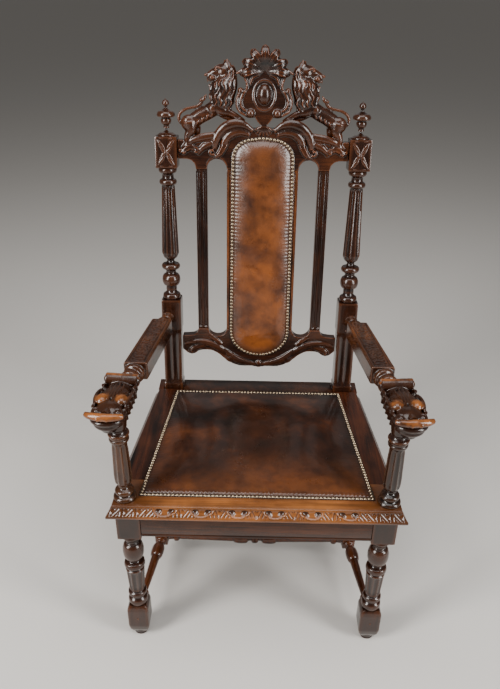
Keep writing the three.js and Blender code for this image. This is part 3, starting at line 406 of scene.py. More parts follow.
def channel_depth(x, s):
    """Two hollow channels run up the square part, between the seat and the arm."""
    ends = min(1, (s - CHANNEL_LOW) / 9, (CHANNEL_HIGH - s) / 9)
    if ends <= 0:
        return 0
    across = (abs(x) - CHANNEL_OFF) / CHANNEL_HALF
    return CHANNEL_DEPTH * math.sqrt(ends) * math.sqrt(max(0, 1 - across * across))


def add_ball(bm, place, radii, sides=16, turn=Matrix()):
    shape = Matrix.Translation(place) @ turn @ Matrix.Diagonal((*radii, 1))
    bmesh.ops.create_uvsphere(bm, u_segments=sides, v_segments=max(5, sides * 2 // 3),
                              radius=1, matrix=shape)


def add_limbs(bm, limbs, squash=1.0, closed=False, sides=3, fineness=5):
    """Rounded tapering forms along smooth curves. Each limb is a list of (x, y, z, half width),
    and squash flattens its depth in Y."""
    curve = bpy.data.curves.new("limbs", "CURVE")
    curve.dimensions = "3D"
    curve.resolution_u = fineness
    curve.bevel_depth = 1
    curve.bevel_resolution = sides
    curve.use_fill_caps = True
    for limb in limbs:
        spline = curve.splines.new("BEZIER")
        spline.bezier_points.add(len(limb) - 1)
        spline.use_cyclic_u = closed
        for point, (x, y, z, half) in zip(spline.bezier_points, limb):
            point.co = (x, y / squash, z)
            point.radius = half
            point.handle_left_type = point.handle_right_type = "AUTO"
    holder = bpy.data.objects.new("limbs", curve)
    mesh = holder.to_mesh()
    mesh.transform(Matrix.Diagonal((1, squash, 1, 1)))
    bm.from_mesh(mesh)
    holder.to_mesh_clear()
    bpy.data.objects.remove(holder)
    bpy.data.curves.remove(curve)


def both_sides(limbs):
    return limbs + [[(-x, y, z, half) for x, y, z, half in limb] for limb in limbs]


def add_block_leaves(bm):
    """Four ribbed leaves in a saltire round a small rosette on the carved block's face."""
    middle = CARVED_BLOCK_MIDDLE
    face = POST_HALF - CARVED_BLOCK_HALF
    limbs = []
    for sx in (1, -1):
        for sz in (1, -1):
            for fan in (-1, 0, 1):
                tip_x = sx * (21 - (3 if fan > 0 else 0))
                tip_z = middle + sz * (31 - (9 if fan > 0 else 0))
                bend_x = sx * (9 - 5 * fan)
                bend_z = middle + sz * (17 - 6 * fan - (8 if fan > 0 else 0))
                limbs.append([(sx * 2, face + 1, middle + sz * 4, 2.4),
                              (bend_x, face + 0.2, bend_z, 4.6), (tip_x, face + 1.2, tip_z, 2.0)])
    add_limbs(bm, limbs, 0.62)
    add_ball(bm, (0, face + 0.5, middle), (6, 4.2, 6))
    add_ball(bm, (0, face - 3, middle), (2.4, 2, 2.4), 10)
    for x in (-16, 16):
        for edge in (-1, 1):
            add_limbs(bm, [[(x * 0.35, face + 1, middle + edge * 33, 1.6),
                            (x, face + 0.6, middle + edge * 33.5, 2.2)]], 0.7)


def post(side):
    bm = turn_piece(post_steps, post_squares, post_flutes)
    for v in bm.verts:
        if 14 < v.co.z < 176:
            if abs(v.co.x) < 18 and v.co.y < -20:
                v.co.y += channel_depth(v.co.x, v.co.z)
            elif abs(v.co.y) < 18 and v.co.x * side > 20:
                v.co.x -= side * channel_depth(v.co.y, v.co.z)
    bmesh.ops.translate(bm, verts=bm.verts, vec=(0, POST_HALF, 0))
    add_block_leaves(bm)
    for step in range(BEAD_COUNT):
        height = 26 + step * BEAD_PITCH
        for edge in (-1, 1):
            add_ball(bm, (edge * 22.6, 2.6, height), (1.9, 1.5, 1.9), 8)
    add_ball(bm, (0, 0, 186), (5, 2.6, 3), 12)
    for v in bm.verts:
        v.co.x += side * POST_X
        if v.co.z >= 0:
            v.co = BACK @ v.co
        else:
            kick = 0
            for (low, a), (high, b) in zip(LEG_KICK, LEG_KICK[1:]):
                if low - 1 <= v.co.z <= high:
                    kick = a + (b - a) * (v.co.z - low) / (high - low)
            v.co.y += POST_FRONT + kick
            v.co.z += SEAT_TOP
    return bm


for side, name in SIDES:
    as_piece(post(side), "turned_back_post_" + name, oak_upright, ["back_post_" + name])

# Arm supports
# Short turned and fluted columns, dowelled into the front seat board below and the lion's neck
# above.

SUPPORT_X = 300
support_steps = [
    (463.3, 0), (463.3, 24), (465, 25.4), (473, 25.8, 22), (475, 18.6), (477, 17.4), (490, 21.8, 17),
    (492, 14.6), (503, 10.6, 13.2), (506, 16), (512, 19), (527, 20.6), (600, 18.4), (618, 17),
    (622, 15.4), (624, 18.6), (634, 21.8, 20.2), (636, 20.6), (640, 21), (640, 0),
]
oak_support = oak("oak_support", "Z", warm=(0.034, 0.0115, 0.004), worn=(0.14, 0.05, 0.012), wear=0.62,
                  high=0.16)
for side, name in SIDES:
    support = turn_piece(support_steps, (), [(508, 620, 10, 2.6)])
    as_piece(support, "turned_arm_support_" + name, oak_support, ["arm_support_" + name],
             Matrix.Translation((side * SUPPORT_X, FLOOR_Y, 0)))

# Arms
# Each arm is one piece: a flat, chip-carved beam with a turned neck into the post, and in front a
# turned collar and a roaring lion mask whose brow rolls over into a scroll. The highest parts are
# rubbed to a warm orange by hands.

ARM_VOXEL = 1.52
MASK_X = 316
MASK_YAW = math.radians(4)
MASK_PLACE = Matrix.Translation((MASK_X, FLOOR_Y, 0)) @ Matrix.Rotation(MASK_YAW, 4, "Z")
BROW = 720
ARM_BACK = Vector((259, FLOOR_Y + 424, 699))
ARM_FRONT = Vector((297, FLOOR_Y + 215, 688))
ARM_THICK = 48
BEAM_HALF_BACK = 26.5
BEAM_HALF_FRONT = 28.5
GROOVE_X = 18.5
GROOVE_DEPTH = 1.5
CHIP_DEPTH = 1.6
LOCK_ROWS = 4
LOCKS_IN_ROW = 5


def fused(bm, voxel, smooth=1):
    """Carved forms that overlap become one closed skin."""
    mesh = bpy.data.meshes.new("rough")
    bm.to_mesh(mesh)
    bm.free()
    holder = bpy.data.objects.new("rough", mesh)
    bpy.context.collection.objects.link(holder)
    remesh = holder.modifiers.new("fuse", "REMESH")
    remesh.mode = "VOXEL"
    remesh.voxel_size = voxel
    solid = holder.evaluated_get(bpy.context.evaluated_depsgraph_get()).to_mesh()
    out = bmesh.new()
    out.from_mesh(solid)
    bpy.data.objects.remove(holder)
    bpy.data.meshes.remove(mesh)
    for _ in range(smooth):
        bmesh.ops.smooth_vert(out, verts=out.verts, factor=0.5, use_axis_x=True,
                              use_axis_y=True, use_axis_z=True)
    return out


def add_mask(bm):
    """The lion mask about its own middle line: x across, y back from the support, z up."""
    add_ball(bm, (0, 98, BROW - 40), (35, 44, 28), 28)
    add_ball(bm, (0, 52, BROW - 34), (38.5, 52, 31), 28)
    add_ball(bm, (0, 6, BROW - 30), (34, 34, 27), 28)
    add_ball(bm, (0, -6, BROW - 42), (28, 27, 20), 24)
    add_limbs(bm, [
        [(-35.5, 115, BROW - 14.5, 14.5), (0, 115, BROW - 14, 13.6), (35.5, 115, BROW - 14.5, 14.5)],
        [(0, 34, BROW - 15, 7), (0, 6, BROW - 14.5, 8), (0, -24, BROW - 12, 9)],
        [(-40, -31, BROW - 8, 5.8), (-27, -37, BROW - 7, 8), (0, -41, BROW - 6.4, 9),
         (27, -37, BROW - 7, 8), (40, -31, BROW - 8, 5.8)],
        [(-32, -12, BROW - 27, 5.4), (-25, -27, BROW - 27, 6.4), (0, -37, BROW - 27, 6.8),
         (25, -27, BROW - 27, 6.4), (32, -12, BROW - 27, 5.4)],
        [(-27, -10, BROW - 39, 5.4), (-19, -25, BROW - 39, 6.4), (0, -32, BROW - 40, 6.8),
         (19, -25, BROW - 39, 6.4), (27, -10, BROW - 39, 5.4)],
        [(-16, -8, BROW - 52, 7), (0, -20, BROW - 52, 9), (16, -8, BROW - 52, 7)],
    ], sides=5)
    half = [
        [(2.6, 98, BROW - 10, 1.6), (4.6, 74, BROW - 5.8, 2.2), (2.8, 44, BROW - 3.4, 2.2),
         (4.6, 16, BROW - 4.4, 1.8)],
        [(9, 96, BROW - 12, 1.6), (14, 76, BROW - 7.4, 2.4), (9.4, 50, BROW - 4.6, 2.2),
         (9, 24, BROW - 6.6, 1.6)],
        [(36, 74, BROW - 15, 2.4), (37, 50, BROW - 9, 3.4), (36.4, 28, BROW - 9, 3.8),
         (33, 10, BROW - 12, 3)],
    ]
    add_limbs(bm, both_sides(half), sides=4)
    for side in (1, -1):
        add_ball(bm, (side * 38, 115, BROW - 14.5), (3, 7.4, 7.4), 16)
        add_ball(bm, (side * 21, 30, BROW - 12), (14.5, 17, 12), 20)
        add_ball(bm, (side * 22, -10, BROW - 20), (14, 14, 9), 16)
        add_ball(bm, (side * 23, -11, BROW - 12.6), (5.4, 5.4, 4.4), 16)
        add_ball(bm, (side * 9, -46, BROW - 8), (5.4, 5, 5.4), 12)
        add_ball(bm, (side * 30, -2, BROW - 26), (9, 17, 11), 16)
        ring = [(side * 23 + 9 * math.cos(a), 8 * math.sin(a) - 11, BROW - 12 + 2 * math.sin(a), 1.9)
                for a in (i * math.pi / 4 for i in range(8))]
        add_limbs(bm, [ring], closed=True, sides=3, fineness=4)
        locks = []
        for row in range(LOCK_ROWS):
            top = BROW - 17 - 11 * row
            reach = 35.6 - 1.8 * row
            for step in range(LOCKS_IN_ROW):
                y = 8 + 20 * step + 7 * (row % 2)
                locks.append([(side * (reach - 3), y - 8, top + 3, 2.2),
                              (side * reach, y + 1, top + 1, 4.4),
                              (side * reach, y + 11, top - 5, 4.2),
                              (side * (reach - 3), y + 18, top - 12, 2)])
        add_limbs(bm, locks, sides=3, fineness=4)
    teeth = []
    for step in range(-3, 4):
        x = step * 8.2
        y = -37 + 0.013 * x * x
        teeth.append([(x, y, BROW - 11, 3), (x, y + 1, BROW - 17, 1.4)])
        teeth.append([(x * 0.86, y + 4, BROW - 27, 2.8), (x * 0.86, y + 3, BROW - 20, 1.4)])
    add_limbs(bm, teeth, sides=3, fineness=2)
    bmesh.ops.transform(bm, matrix=MASK_PLACE, verts=bm.verts)


def darken_mask(bm):
    """Old wax stays dark all over the mask except on its lip, brows and scroll, where hands rub."""
    wax_and_painted_shade = bm.verts.layers.float.new("wax_and_painted_shade")
    to_mask = MASK_PLACE.inverted()
    for v in bm.verts:
        x, y, z = to_mask @ v.co
        if y > 134 or z < BROW - 72:
            continue
        lip = 1 - ((y + 42) / 17) ** 2 if z > BROW - 14 else 0
        brow = 1 - ((abs(x) - 22) / 17) ** 2 - ((y - 30) / 20) ** 2 if z > BROW - 22 else 0
        scroll = 1 - ((y - 121) / 12) ** 2 if z > BROW - 10 else 0
        mottle = noise.noise(Vector((x / 7, y / 9, z / 9)))
        rubbed = 1.5 * max(0, lip, brow, scroll) * (1 + 0.9 * mottle)
        v[wax_and_painted_shade] = 0.9 * (1 - min(1, rubbed))


def join_in(bm, other):
    """Adds another bmesh's forms to bm."""
    mesh = bpy.data.meshes.new("joined")
    other.to_mesh(mesh)
    other.free()
    bm.from_mesh(mesh)
    bpy.data.meshes.remove(mesh)


def add_turning(bm, steps, matrix, sides=40):
    """A short turned length, laid along matrix and left inside the carved form."""
    turned = turn_piece(steps, sides=sides)
    bmesh.ops.transform(turned, matrix=matrix, verts=turned.verts)
    join_in(bm, turned)


def soften(bm, edges, offset, segments):
    """Rounds the given edges of a board."""
    bmesh.ops.bevel(bm, geom=edges, offset=offset, offset_type="OFFSET", affect="EDGES",
                    segments=segments, profile=0.5, material=-1)


def add_beam(bm):
    """The arm's beam, wider in front, with its long edges rounded and its ends eased."""
    beam = bmesh.new()
    bmesh.ops.create_cube(beam, size=1)
    for v in beam.verts:
        back = v.co.y > 0
        end = ARM_BACK if back else ARM_FRONT
        half = BEAM_HALF_BACK if back else BEAM_HALF_FRONT
        v.co = Vector((end.x + (half if v.co.x > 0 else -half), end.y,
                       end.z - (0 if v.co.z > 0 else ARM_THICK)))
    soften(beam, [e for e in beam.edges if abs((e.verts[0].co - e.verts[1].co).y) > 50], 4.5, 3)
    soften(beam, [e for e in beam.edges if abs((e.verts[0].co - e.verts[1].co).y) < 1], 1.6, 2)
    join_in(bm, beam)


def carve_beam_top(bm):
    """Grooves along both edges of the beam's top and a bed of small punched hollows between."""
    along = ARM_BACK - ARM_FRONT
    for v in bm.verts:
        share = (v.co.y - ARM_FRONT.y) / along.y
        if not 0.02 < share < 0.98 or v.normal.z < 0.8:
            continue
        x = v.co.x - (ARM_FRONT.x + along.x * share)
        if abs(x) > 24:
            continue
        ends = min(1, (share - 0.02) / 0.03, (0.98 - share) / 0.03)
        groove = max(0, 1 - ((abs(x) - GROOVE_X) / 1.9) ** 2)
        place = Vector((x / 4.4, v.co.y / 6.2, 0))
        chips = max(0, noise.noise(place) + 0.2) if abs(x) < 16 else 0
        v.co.z -= ends * (GROOVE_DEPTH * groove + CHIP_DEPTH * chips)


def arm():
    bm = bmesh.new()
    add_mask(bm)
    add_beam(bm)
    splay = math.atan2(ARM_FRONT.x - ARM_BACK.x, ARM_BACK.y - ARM_FRONT.y)
    front = (Matrix.Translation(ARM_FRONT - Vector((0, 0, ARM_THICK / 2)))
             @ Matrix.Rotation(splay, 4, "Z") @ Matrix.Rotation(math.pi / 2, 4, "X"))
    add_turning(bm, [(-12, 0), (-12, 20), (3, 20), (5, 23), (17, 25.8, 22), (19, 19.4), (31, 18, 20),
                     (33, 22), (44, 24.8, 21), (46, 20), (90, 20), (90, 0)], front)
    back = (Matrix.Translation(ARM_BACK - Vector((0, 0, ARM_THICK / 2)))
            @ Matrix.Rotation(splay, 4, "Z") @ Matrix.Rotation(-math.pi / 2, 4, "X"))
    add_turning(bm, [(-12, 0), (-12, 15), (3, 15), (5, 18), (19, 20.8, 17), (21, 14.5), (33, 12, 14.5),
                     (47, 18), (52, 18), (52, 0)], back)
    add_turning(bm, [(640.5, 0), (640.5, 20.4), (642, 21.4), (649, 23.6, 19.5), (651, 18),
                     (660, 16, 19), (690, 22), (690, 0)],
                Matrix.Translation((SUPPORT_X, FLOOR_Y, 0)))
    bm = fused(bm, ARM_VOXEL)
    cut = BACK @ Vector((0, -0.5, 0))
    facing = BACK.to_3x3() @ Vector((0, 1, 0))
    split = bmesh.ops.bisect_plane(bm, geom=bm.verts[:] + bm.edges[:] + bm.faces[:], plane_co=cut,
                                   plane_no=facing, clear_outer=True)
    rim = [e for e in split["geom_cut"] if isinstance(e, bmesh.types.BMEdge)]
    bmesh.ops.contextual_create(bm, geom=rim)
    bm.normal_update()
    carve_beam_top(bm)
    darken_mask(bm)
    bmesh.ops.recalc_face_normals(bm, faces=bm.faces)
    return bm


oak_arm = oak("oak_arm", "Y", wear=0.55, warm=(0.042, 0.013, 0.0055), worn=(0.27, 0.088, 0.02),
              handled=(0.698, 0.722))
right_arm = arm()
left_arm = right_arm.copy()
bmesh.ops.scale(left_arm, vec=(-1, 1, 1), verts=left_arm.verts)
bmesh.ops.reverse_faces(left_arm, faces=left_arm.faces)
as_piece(right_arm, "lion_arm_right", oak_arm, ["arm_right"], smooth_deg=50)
as_piece(left_arm, "lion_arm_left", oak_arm, ["arm_left"], smooth_deg=50)

# Crest rail
# A pierced board of oak between the two posts, carved in high relief on its front: two roaring
# lions that rear against a shield, a palmette above it and acanthus along the rail. Its back is
# left flat and plain.

CREST_VOXEL = 1.88
BOARD_FRONT = 13
BOARD_BACK = 40
POST_INNER = 212.2
CREST_SPRING = 612
PANEL_HALF = 90
SLAT_IN = 140
SLAT_OUT = 168
RELIEF = BOARD_FRONT + 8
SHIELD_FRONT = BOARD_FRONT - 8
MANE_STRANDS = 15
PALMETTE_FOOT = 838
PALMETTE_REACH = 60
ARCH_RISE = 25
oak_relief = oak("oak_relief", "X", wear=0.45, worn=(0.19, 0.055, 0.015), high=0.5)


def bends(*parts):
    """Points of an outline. (x, z) is a corner and (cx, cz, x, z) a bend towards a control point."""
    points = []
    for part in parts:
        if len(part) == 2:
            points.append(part)
            continue
        cx, cz, x, z = part
        x0, z0 = points[-1]
        for i in range(1, ARC_STEPS + 1):
            t = i / ARC_STEPS
            a, b, c = (1 - t) ** 2, 2 * t * (1 - t), t * t
            points.append((a * x0 + b * cx + c * x, a * z0 + b * cz + c * z))
    return points


def round_arch(x0, x1, z, rise):
    middle, half = (x0 + x1) / 2, (x1 - x0) / 2
    return [(middle - half * math.cos(a), z + rise * math.sin(a))
            for a in (math.pi * i / 16 for i in range(17))]


def sawn_board(bm, half, front, back):
    """A board sawn to an outline in x and z, given as its right half from one end to the other."""
    whole = half + [(-x, z) for x, z in reversed(half) if abs(x) > 0.01]
    face = bm.faces.new([bm.verts.new((x, front, z)) for x, z in whole])
    grown = bmesh.ops.extrude_face_region(bm, geom=[face], use_keep_orig=True)
    moved = [g for g in grown["geom"] if isinstance(g, bmesh.types.BMVert)]
    bmesh.ops.translate(bm, verts=moved, vec=(0, back - front, 0))
    bmesh.ops.recalc_face_normals(bm, faces=bm.faces)


def trim_to_posts(bm):
    """Leaves the carved form flat behind and square where it meets the posts."""
    for v in bm.verts:
        v.co.y = min(v.co.y, BOARD_BACK)
        v.co.x = max(-POST_INNER, min(POST_INNER, v.co.x))
    return bm


def ribs(spine, count, proud=0.35):
    """A leaf of side-by-side ribs that run along its spine, a list of (x, y, z, half width)."""
    limbs = []
    for rib in range(count):
        across = 2 * (rib + 0.5) / count - 1
        limb = []
        for i, (x, y, z, half) in enumerate(spine):
            before, after = spine[max(0, i - 1)], spine[min(len(spine) - 1, i + 1)]
            along = Vector((after[0] - before[0], after[2] - before[2])).normalized()
            side = across * half * 0.8
            limb.append((x - along.y * side, y + proud * half * (across * across - 0.4),
                         z + along.x * side, half / count * 1.35))
        limbs.append(limb)
    return limbs


def lion_form():
    """The right-hand lion's smooth masses, as limbs of (x, y, z, half width)."""
    y = RELIEF
    return [
        [(184, y, 715, 19), (160, y, 734, 18.5), (134, y, 748, 18.5), (112, y, 762, 19)],
        [(98, y, 758, 22), (101, y - 1, 780, 29), (95, y - 1, 808, 29), (86, y, 836, 20)],
        [(90, y, 836, 18), (104, y - 1, 840, 17), (118, y - 3, 835, 13), (130, y - 3, 829, 11.4),
         (137, y - 3, 827, 9.4)],
        [(96, y - 1, 816, 13), (110, y - 1, 805, 11), (124, y - 1, 800, 9), (132, y - 1, 800.6, 7.4)],
        [(120, y - 8, 764, 13), (104, y - 9, 752, 12), (84, y - 9, 747, 8), (62, y - 9, 736, 6.6),
         (49, y - 9, 726, 7)],
        [(116, y - 2, 752, 10), (98, y - 2, 740, 8), (80, y - 2, 732, 6.4), (66, y - 2, 722, 6)],
        [(182, y - 6, 724, 19), (179, y - 7, 706, 14), (187, y - 8, 689, 8), (187, y - 8, 672, 6),
         (191, y - 8, 656, 6.4)],
        [(168, y + 4, 716, 14), (166, y + 4, 698, 10), (173, y + 4, 682, 6.4), (173, y + 4, 666, 5.4),
         (177, y + 4, 655, 5.6)],
        [(196, y, 716, 5), (205, y, 724, 4.2), (207, y, 738, 4), (192, y, 752, 3.8), (174, y, 757, 3.8),
         (160, y, 761, 4), (152, y, 770, 5), (148, y, 780, 4)],
    ]


def mane_locks():
    """Long wavy strands that flow from the lion's brow down over its neck on to the shoulder."""
    neck = ((864, 90, 9), (852, 87, 15), (836, 87, 20), (808, 95, 28.5), (780, 101, 28.5),
            (762, 101, 22), (748, 104, 19))
    locks = []
    for strand in range(MANE_STRANDS):
        start = -82 + 164 * strand / (MANE_STRANDS - 1)
        skip = 0 if abs(start) < 46 else 1
        lock = []
        for i, (z, middle, half) in enumerate(neck[skip:]):
            angle = math.radians(start + (10 if (i + strand) % 2 else -6) - 5 * (i - 3))
            lock.append((middle + half * math.sin(angle), RELIEF + 0.5 - 0.86 * half * math.cos(angle),
                         z + 3 * math.sin(strand * 2.4), 2.2 if i else 1.4))
        locks.append(lock)
        curl = lock[3 + strand % 2]
        locks.append([(curl[0] - 2, curl[1] - 0.4, curl[2] + 13, 1.2),
                      (curl[0] + 3, curl[1] - 1.6, curl[2] + 3, 2.3),
                      (curl[0] - 1, curl[1] - 1.4, curl[2] - 8, 2.2),
                      (curl[0] + 4, curl[1] + 0.6, curl[2] - 17, 1)])
    return locks


def lion_detail():
    y = RELIEF
    detail = [
        [(104, y - 15, 846, 3), (114, y - 13, 848, 3.6), (121, y - 9, 843, 2.6)],
        [(118, y - 12, 838, 2), (130, y - 10, 834, 2.4), (140, y - 8, 833, 2.4)],
        [(116, y - 12, 824, 2.4), (128, y - 9.6, 819.5, 2.6), (138, y - 7, 820.5, 2.4)],
        [(112, y - 8, 811, 2), (124, y - 6.4, 806, 2.2), (134, y - 5, 807, 2)],
        [(136, y - 4, 821, 2.4), (136.6, y - 4, 813.5, 0.9)],
        [(128, y - 8, 820, 1.8), (128.4, y - 8, 815, 0.8)],
        [(131, y - 4, 806, 2.1), (131, y - 4, 811.5, 0.8)],
        [(108, y - 3, 814, 4), (118, y - 3, 812, 3.6), (127, y - 3, 812.6, 2.2)],
        [(84, y - 9, 846, 5), (85, y - 8, 857, 4.2), (89, y - 7, 864, 1.4)],
        [(92, y - 10, 848, 3), (91, y - 9, 856, 2.4), (90, y - 7.6, 862, 1.2)],
    ]
    for turn in range(5):
        angle = math.radians(150 + turn * 40)
        detail.append([(150 + 2 * math.cos(angle), y - 3, 776 + 2 * math.sin(angle), 2.6),
                       (150 + 7 * math.cos(angle), y - 4, 779 + 6 * math.sin(angle), 2.4),
                       (147 + 9 * math.cos(angle), y - 2, 784 + 8 * math.sin(angle), 1.2)])
    for paw_x, paw_y, paw_z, reach in ((46, y - 11, 722, -1), (193, y - 10, 652, 1),
                                       (180, y + 2, 651, 1)):
        for toe in (-1, 0, 1):
            detail.append([(paw_x, paw_y + toe * 3, paw_z + 1.5, 3.4),
                           (paw_x + reach * 6, paw_y - 2 + toe * 3.6, paw_z - 1.5, 3)])
    for step in range(4):
        detail.append([(126 + 12 * step, y - 13.5, 756 - 7 * step, 1.6),
                       (124 + 12 * step, y - 15.6, 746 - 7 * step, 1.8),
                       (128 + 12 * step, y - 13, 736 - 6 * step, 1.4)])
    return detail


def acanthus():
    """Broad ribbed leaves that roll out of the shield's foot along the rail, for the right half."""
    y = BOARD_FRONT
    leaves = ribs([(104, y - 2, 700, 6), (126, y - 5, 693, 10), (152, y - 5, 688, 11),
                   (178, y - 4, 679, 8), (200, y - 1, 664, 3)], 5, 0.45)
    leaves += ribs([(120, y - 2, 678, 6), (138, y - 4, 671, 9), (154, y - 4, 660, 7),
                    (161, y - 2, 648, 3)], 4, 0.45)
    leaves += ribs([(172, y - 1, 668, 5), (188, y - 3, 662, 7), (202, y - 2, 652, 4)], 2, 0.5)
    leaves += ribs([(34, y - 3, 698, 6), (58, y - 6, 703, 10), (82, y - 6, 695, 11),
                    (97, y - 4, 677, 9), (101, y - 2, 657, 4)], 5, 0.45)
    leaves += ribs([(90, y - 1, 680, 5), (99, y - 3, 664, 7), (108, y - 3, 650, 6),
                    (119, y - 1, 641, 3)], 2, 0.5)
    leaves += ribs([(26, y - 4, 706, 6), (50, y - 9, 720, 11), (80, y - 10, 720, 14),
                    (105, y - 8, 704, 13), (118, y - 6, 681, 10), (120, y - 4, 662, 5)], 6, 0.45)
    for middle_x, middle_z, start, reach in ((167, 657, 0, 9.5), (126, 655, -2.4, 8),
                                             (204, 658, 2.6, 6)):
        leaves.append([(middle_x + reach * (1 - 0.1 * i) * math.cos(start + 0.8 * i), y - 2.4 - 0.5 * i,
                        middle_z + reach * (1 - 0.1 * i) * math.sin(start + 0.8 * i), 2.8 - 0.14 * i)
                       for i in range(8)])
    return leaves


def palmette():
    """Seven veined, round-ended lobes fanned above the shield, the outer ones drooping."""
    y = RELIEF - 13
    lobes, veins = [], []
    for degrees in (-96, -66, -33, 0, 33, 66, 96):
        angle = math.radians(degrees)
        bend = math.radians(degrees * 0.72)
        reach = PALMETTE_REACH - 2 * abs(math.sin(angle))
        stops = []
        for share, push, half in ((0.1, 1, 4), (0.4, 4, 9), (0.7, 6, 12.4), (0.9, 3, 9.6), (1, 1, 3)):
            turn = bend + (angle - bend) * share
            stops.append((share * reach * math.sin(turn), y - push,
                          PALMETTE_FOOT + share * reach * math.cos(turn), half))
        lobes.append(stops)
        for rib in ribs([(x, front - half * 0.62, z, half) for x, front, z, half in stops[:4]], 3, 0.1):
            veins.append([(x, front, z, half * 0.6) for x, front, z, half in rib])
    return lobes, veins


def shield_ridges():
    """Double C-scrolls round the shield's edge, and its eaves, for the right-hand half."""
    y = SHIELD_FRONT
    return [
        [(21, y - 3, 850, 3), (28, y - 5, 853, 4), (33, y - 4, 848, 3.6), (28, y - 4, 844, 3)],
        [(44, y - 1, 742, 2.8), (60, y - 2, 752, 3.2), (66, y - 2, 770, 3.4), (61, y - 2, 790, 3.2),
         (55, y - 3, 799, 3)],
        [(38, y - 1, 750, 2.4), (51, y - 2, 757, 2.8), (57, y - 2, 770, 3), (53, y - 2, 786, 2.8),
         (46, y - 2, 797, 2.4)],
        [(43, y - 1, 800, 2.6), (42, y - 2, 812, 3), (47, y - 2, 826, 3)],
        [(12, y - 1, 834, 2.2), (28, y - 2, 826, 2.6), (34, y - 1, 812, 2.2)],
    ] + ribs([(18, y - 3, 861, 3), (34, y - 5, 853, 4.6), (50, y - 5, 844, 4.8), (68, y - 3, 835, 2.2)],
             2, 0.5)


def crest():
    arch = round_arch(PANEL_HALF, SLAT_IN, CREST_SPRING, ARCH_RISE)
    rail_half = [(0, CREST_SPRING)] + arch + bends(
        (SLAT_OUT, CREST_SPRING), (169, 635, 192, 636), (POST_INNER, 636), (POST_INNER, 682),
        (200, 682), (176, 668, 150, 678), (116, 712, 70, 722), (40, 712), (0, 712))
    shield_half = bends(
        (0, 716), (14, 722, 22, 738), (34, 732, 47, 740), (68, 752, 68, 771), (68, 790, 58, 802),
        (44, 800), (40, 812, 45, 826), (66, 836), (48, 852, 24, 856), (0, 858))
    bm = bmesh.new()
    sawn_board(bm, rail_half, BOARD_FRONT, BOARD_BACK)
    sawn_board(bm, shield_half, SHIELD_FRONT, BOARD_BACK)
    add_limbs(bm, both_sides(lion_form()), 0.86, sides=6)
    add_limbs(bm, both_sides(mane_locks()), sides=3, fineness=4)
    add_limbs(bm, both_sides(lion_detail()), sides=3, fineness=4)
    add_limbs(bm, both_sides(acanthus()), sides=3)
    lobes, veins = palmette()
    add_limbs(bm, lobes, 0.55, sides=5)
    add_limbs(bm, veins + both_sides(shield_ridges()), sides=3)
    fan = [[(0, BOARD_FRONT - 6, 717, 4),
            (math.sin(a) * 14, BOARD_FRONT - 5, 717 - math.cos(a) * 12, 3.6),
            (math.sin(a) * 24, BOARD_FRONT - 1, 717 - math.cos(a) * 23, 2.4)]
           for a in (math.radians(22 * i) for i in range(-3, 4))]
    add_limbs(bm, fan, sides=3)
    ring = [(26 * math.cos(a), BOARD_FRONT - 8.5, 788 + 34 * math.sin(a), 1.7)
            for a in (i * math.pi / 6 for i in range(12))]
    add_limbs(bm, [ring], closed=True, sides=3)
    add_ball(bm, (0, BOARD_FRONT - 8, 790), (16.5, 15, 23), 28)
    add_ball(bm, (0, 17, 852), (47, 9, 27), 28)
    for side in (1, -1):
        for x, y, z, rx, ry, rz in ((97, 17, 838, 18, 15, 17), (182, 15, 722, 21, 14, 20),
                                    (124, 13, 756, 13, 13, 13), (125, 10, 826, 8, 8, 6.5),
                                    (140, 14, 831, 4.6, 5, 3.6), (116, 6.5, 843, 4.2, 3.6, 3.2),
                                    (32.5, 4, 747, 9.6, 8.4, 9.6), (57, 6, 798, 7.2, 7, 7.2),
                                    (14, 6, 866, 5, 5, 4), (167, 12, 657, 4, 5, 4)):
            add_ball(bm, (side * x, y, z), (rx, ry, rz), 16)
        bead = [(side * x, BOARD_FRONT, z + 5.5, 1.7) for x, z in arch[1:-1:2]]
        add_limbs(bm, [bead], sides=3)
    return trim_to_posts(fused(bm, CREST_VOXEL))


as_piece(crest(), "carved_lion_crest", oak_relief, ["crest_rail"], BACK, smooth_deg=60)

# Lower back rail
# The shaped board under the leather panel, sawn to two round lobes below and carved with ribbed
# leaves that run out to small curled drops beside the posts.

LOWER_SPRING = 180
LOWER_DIP = 22
LEDGE = 158


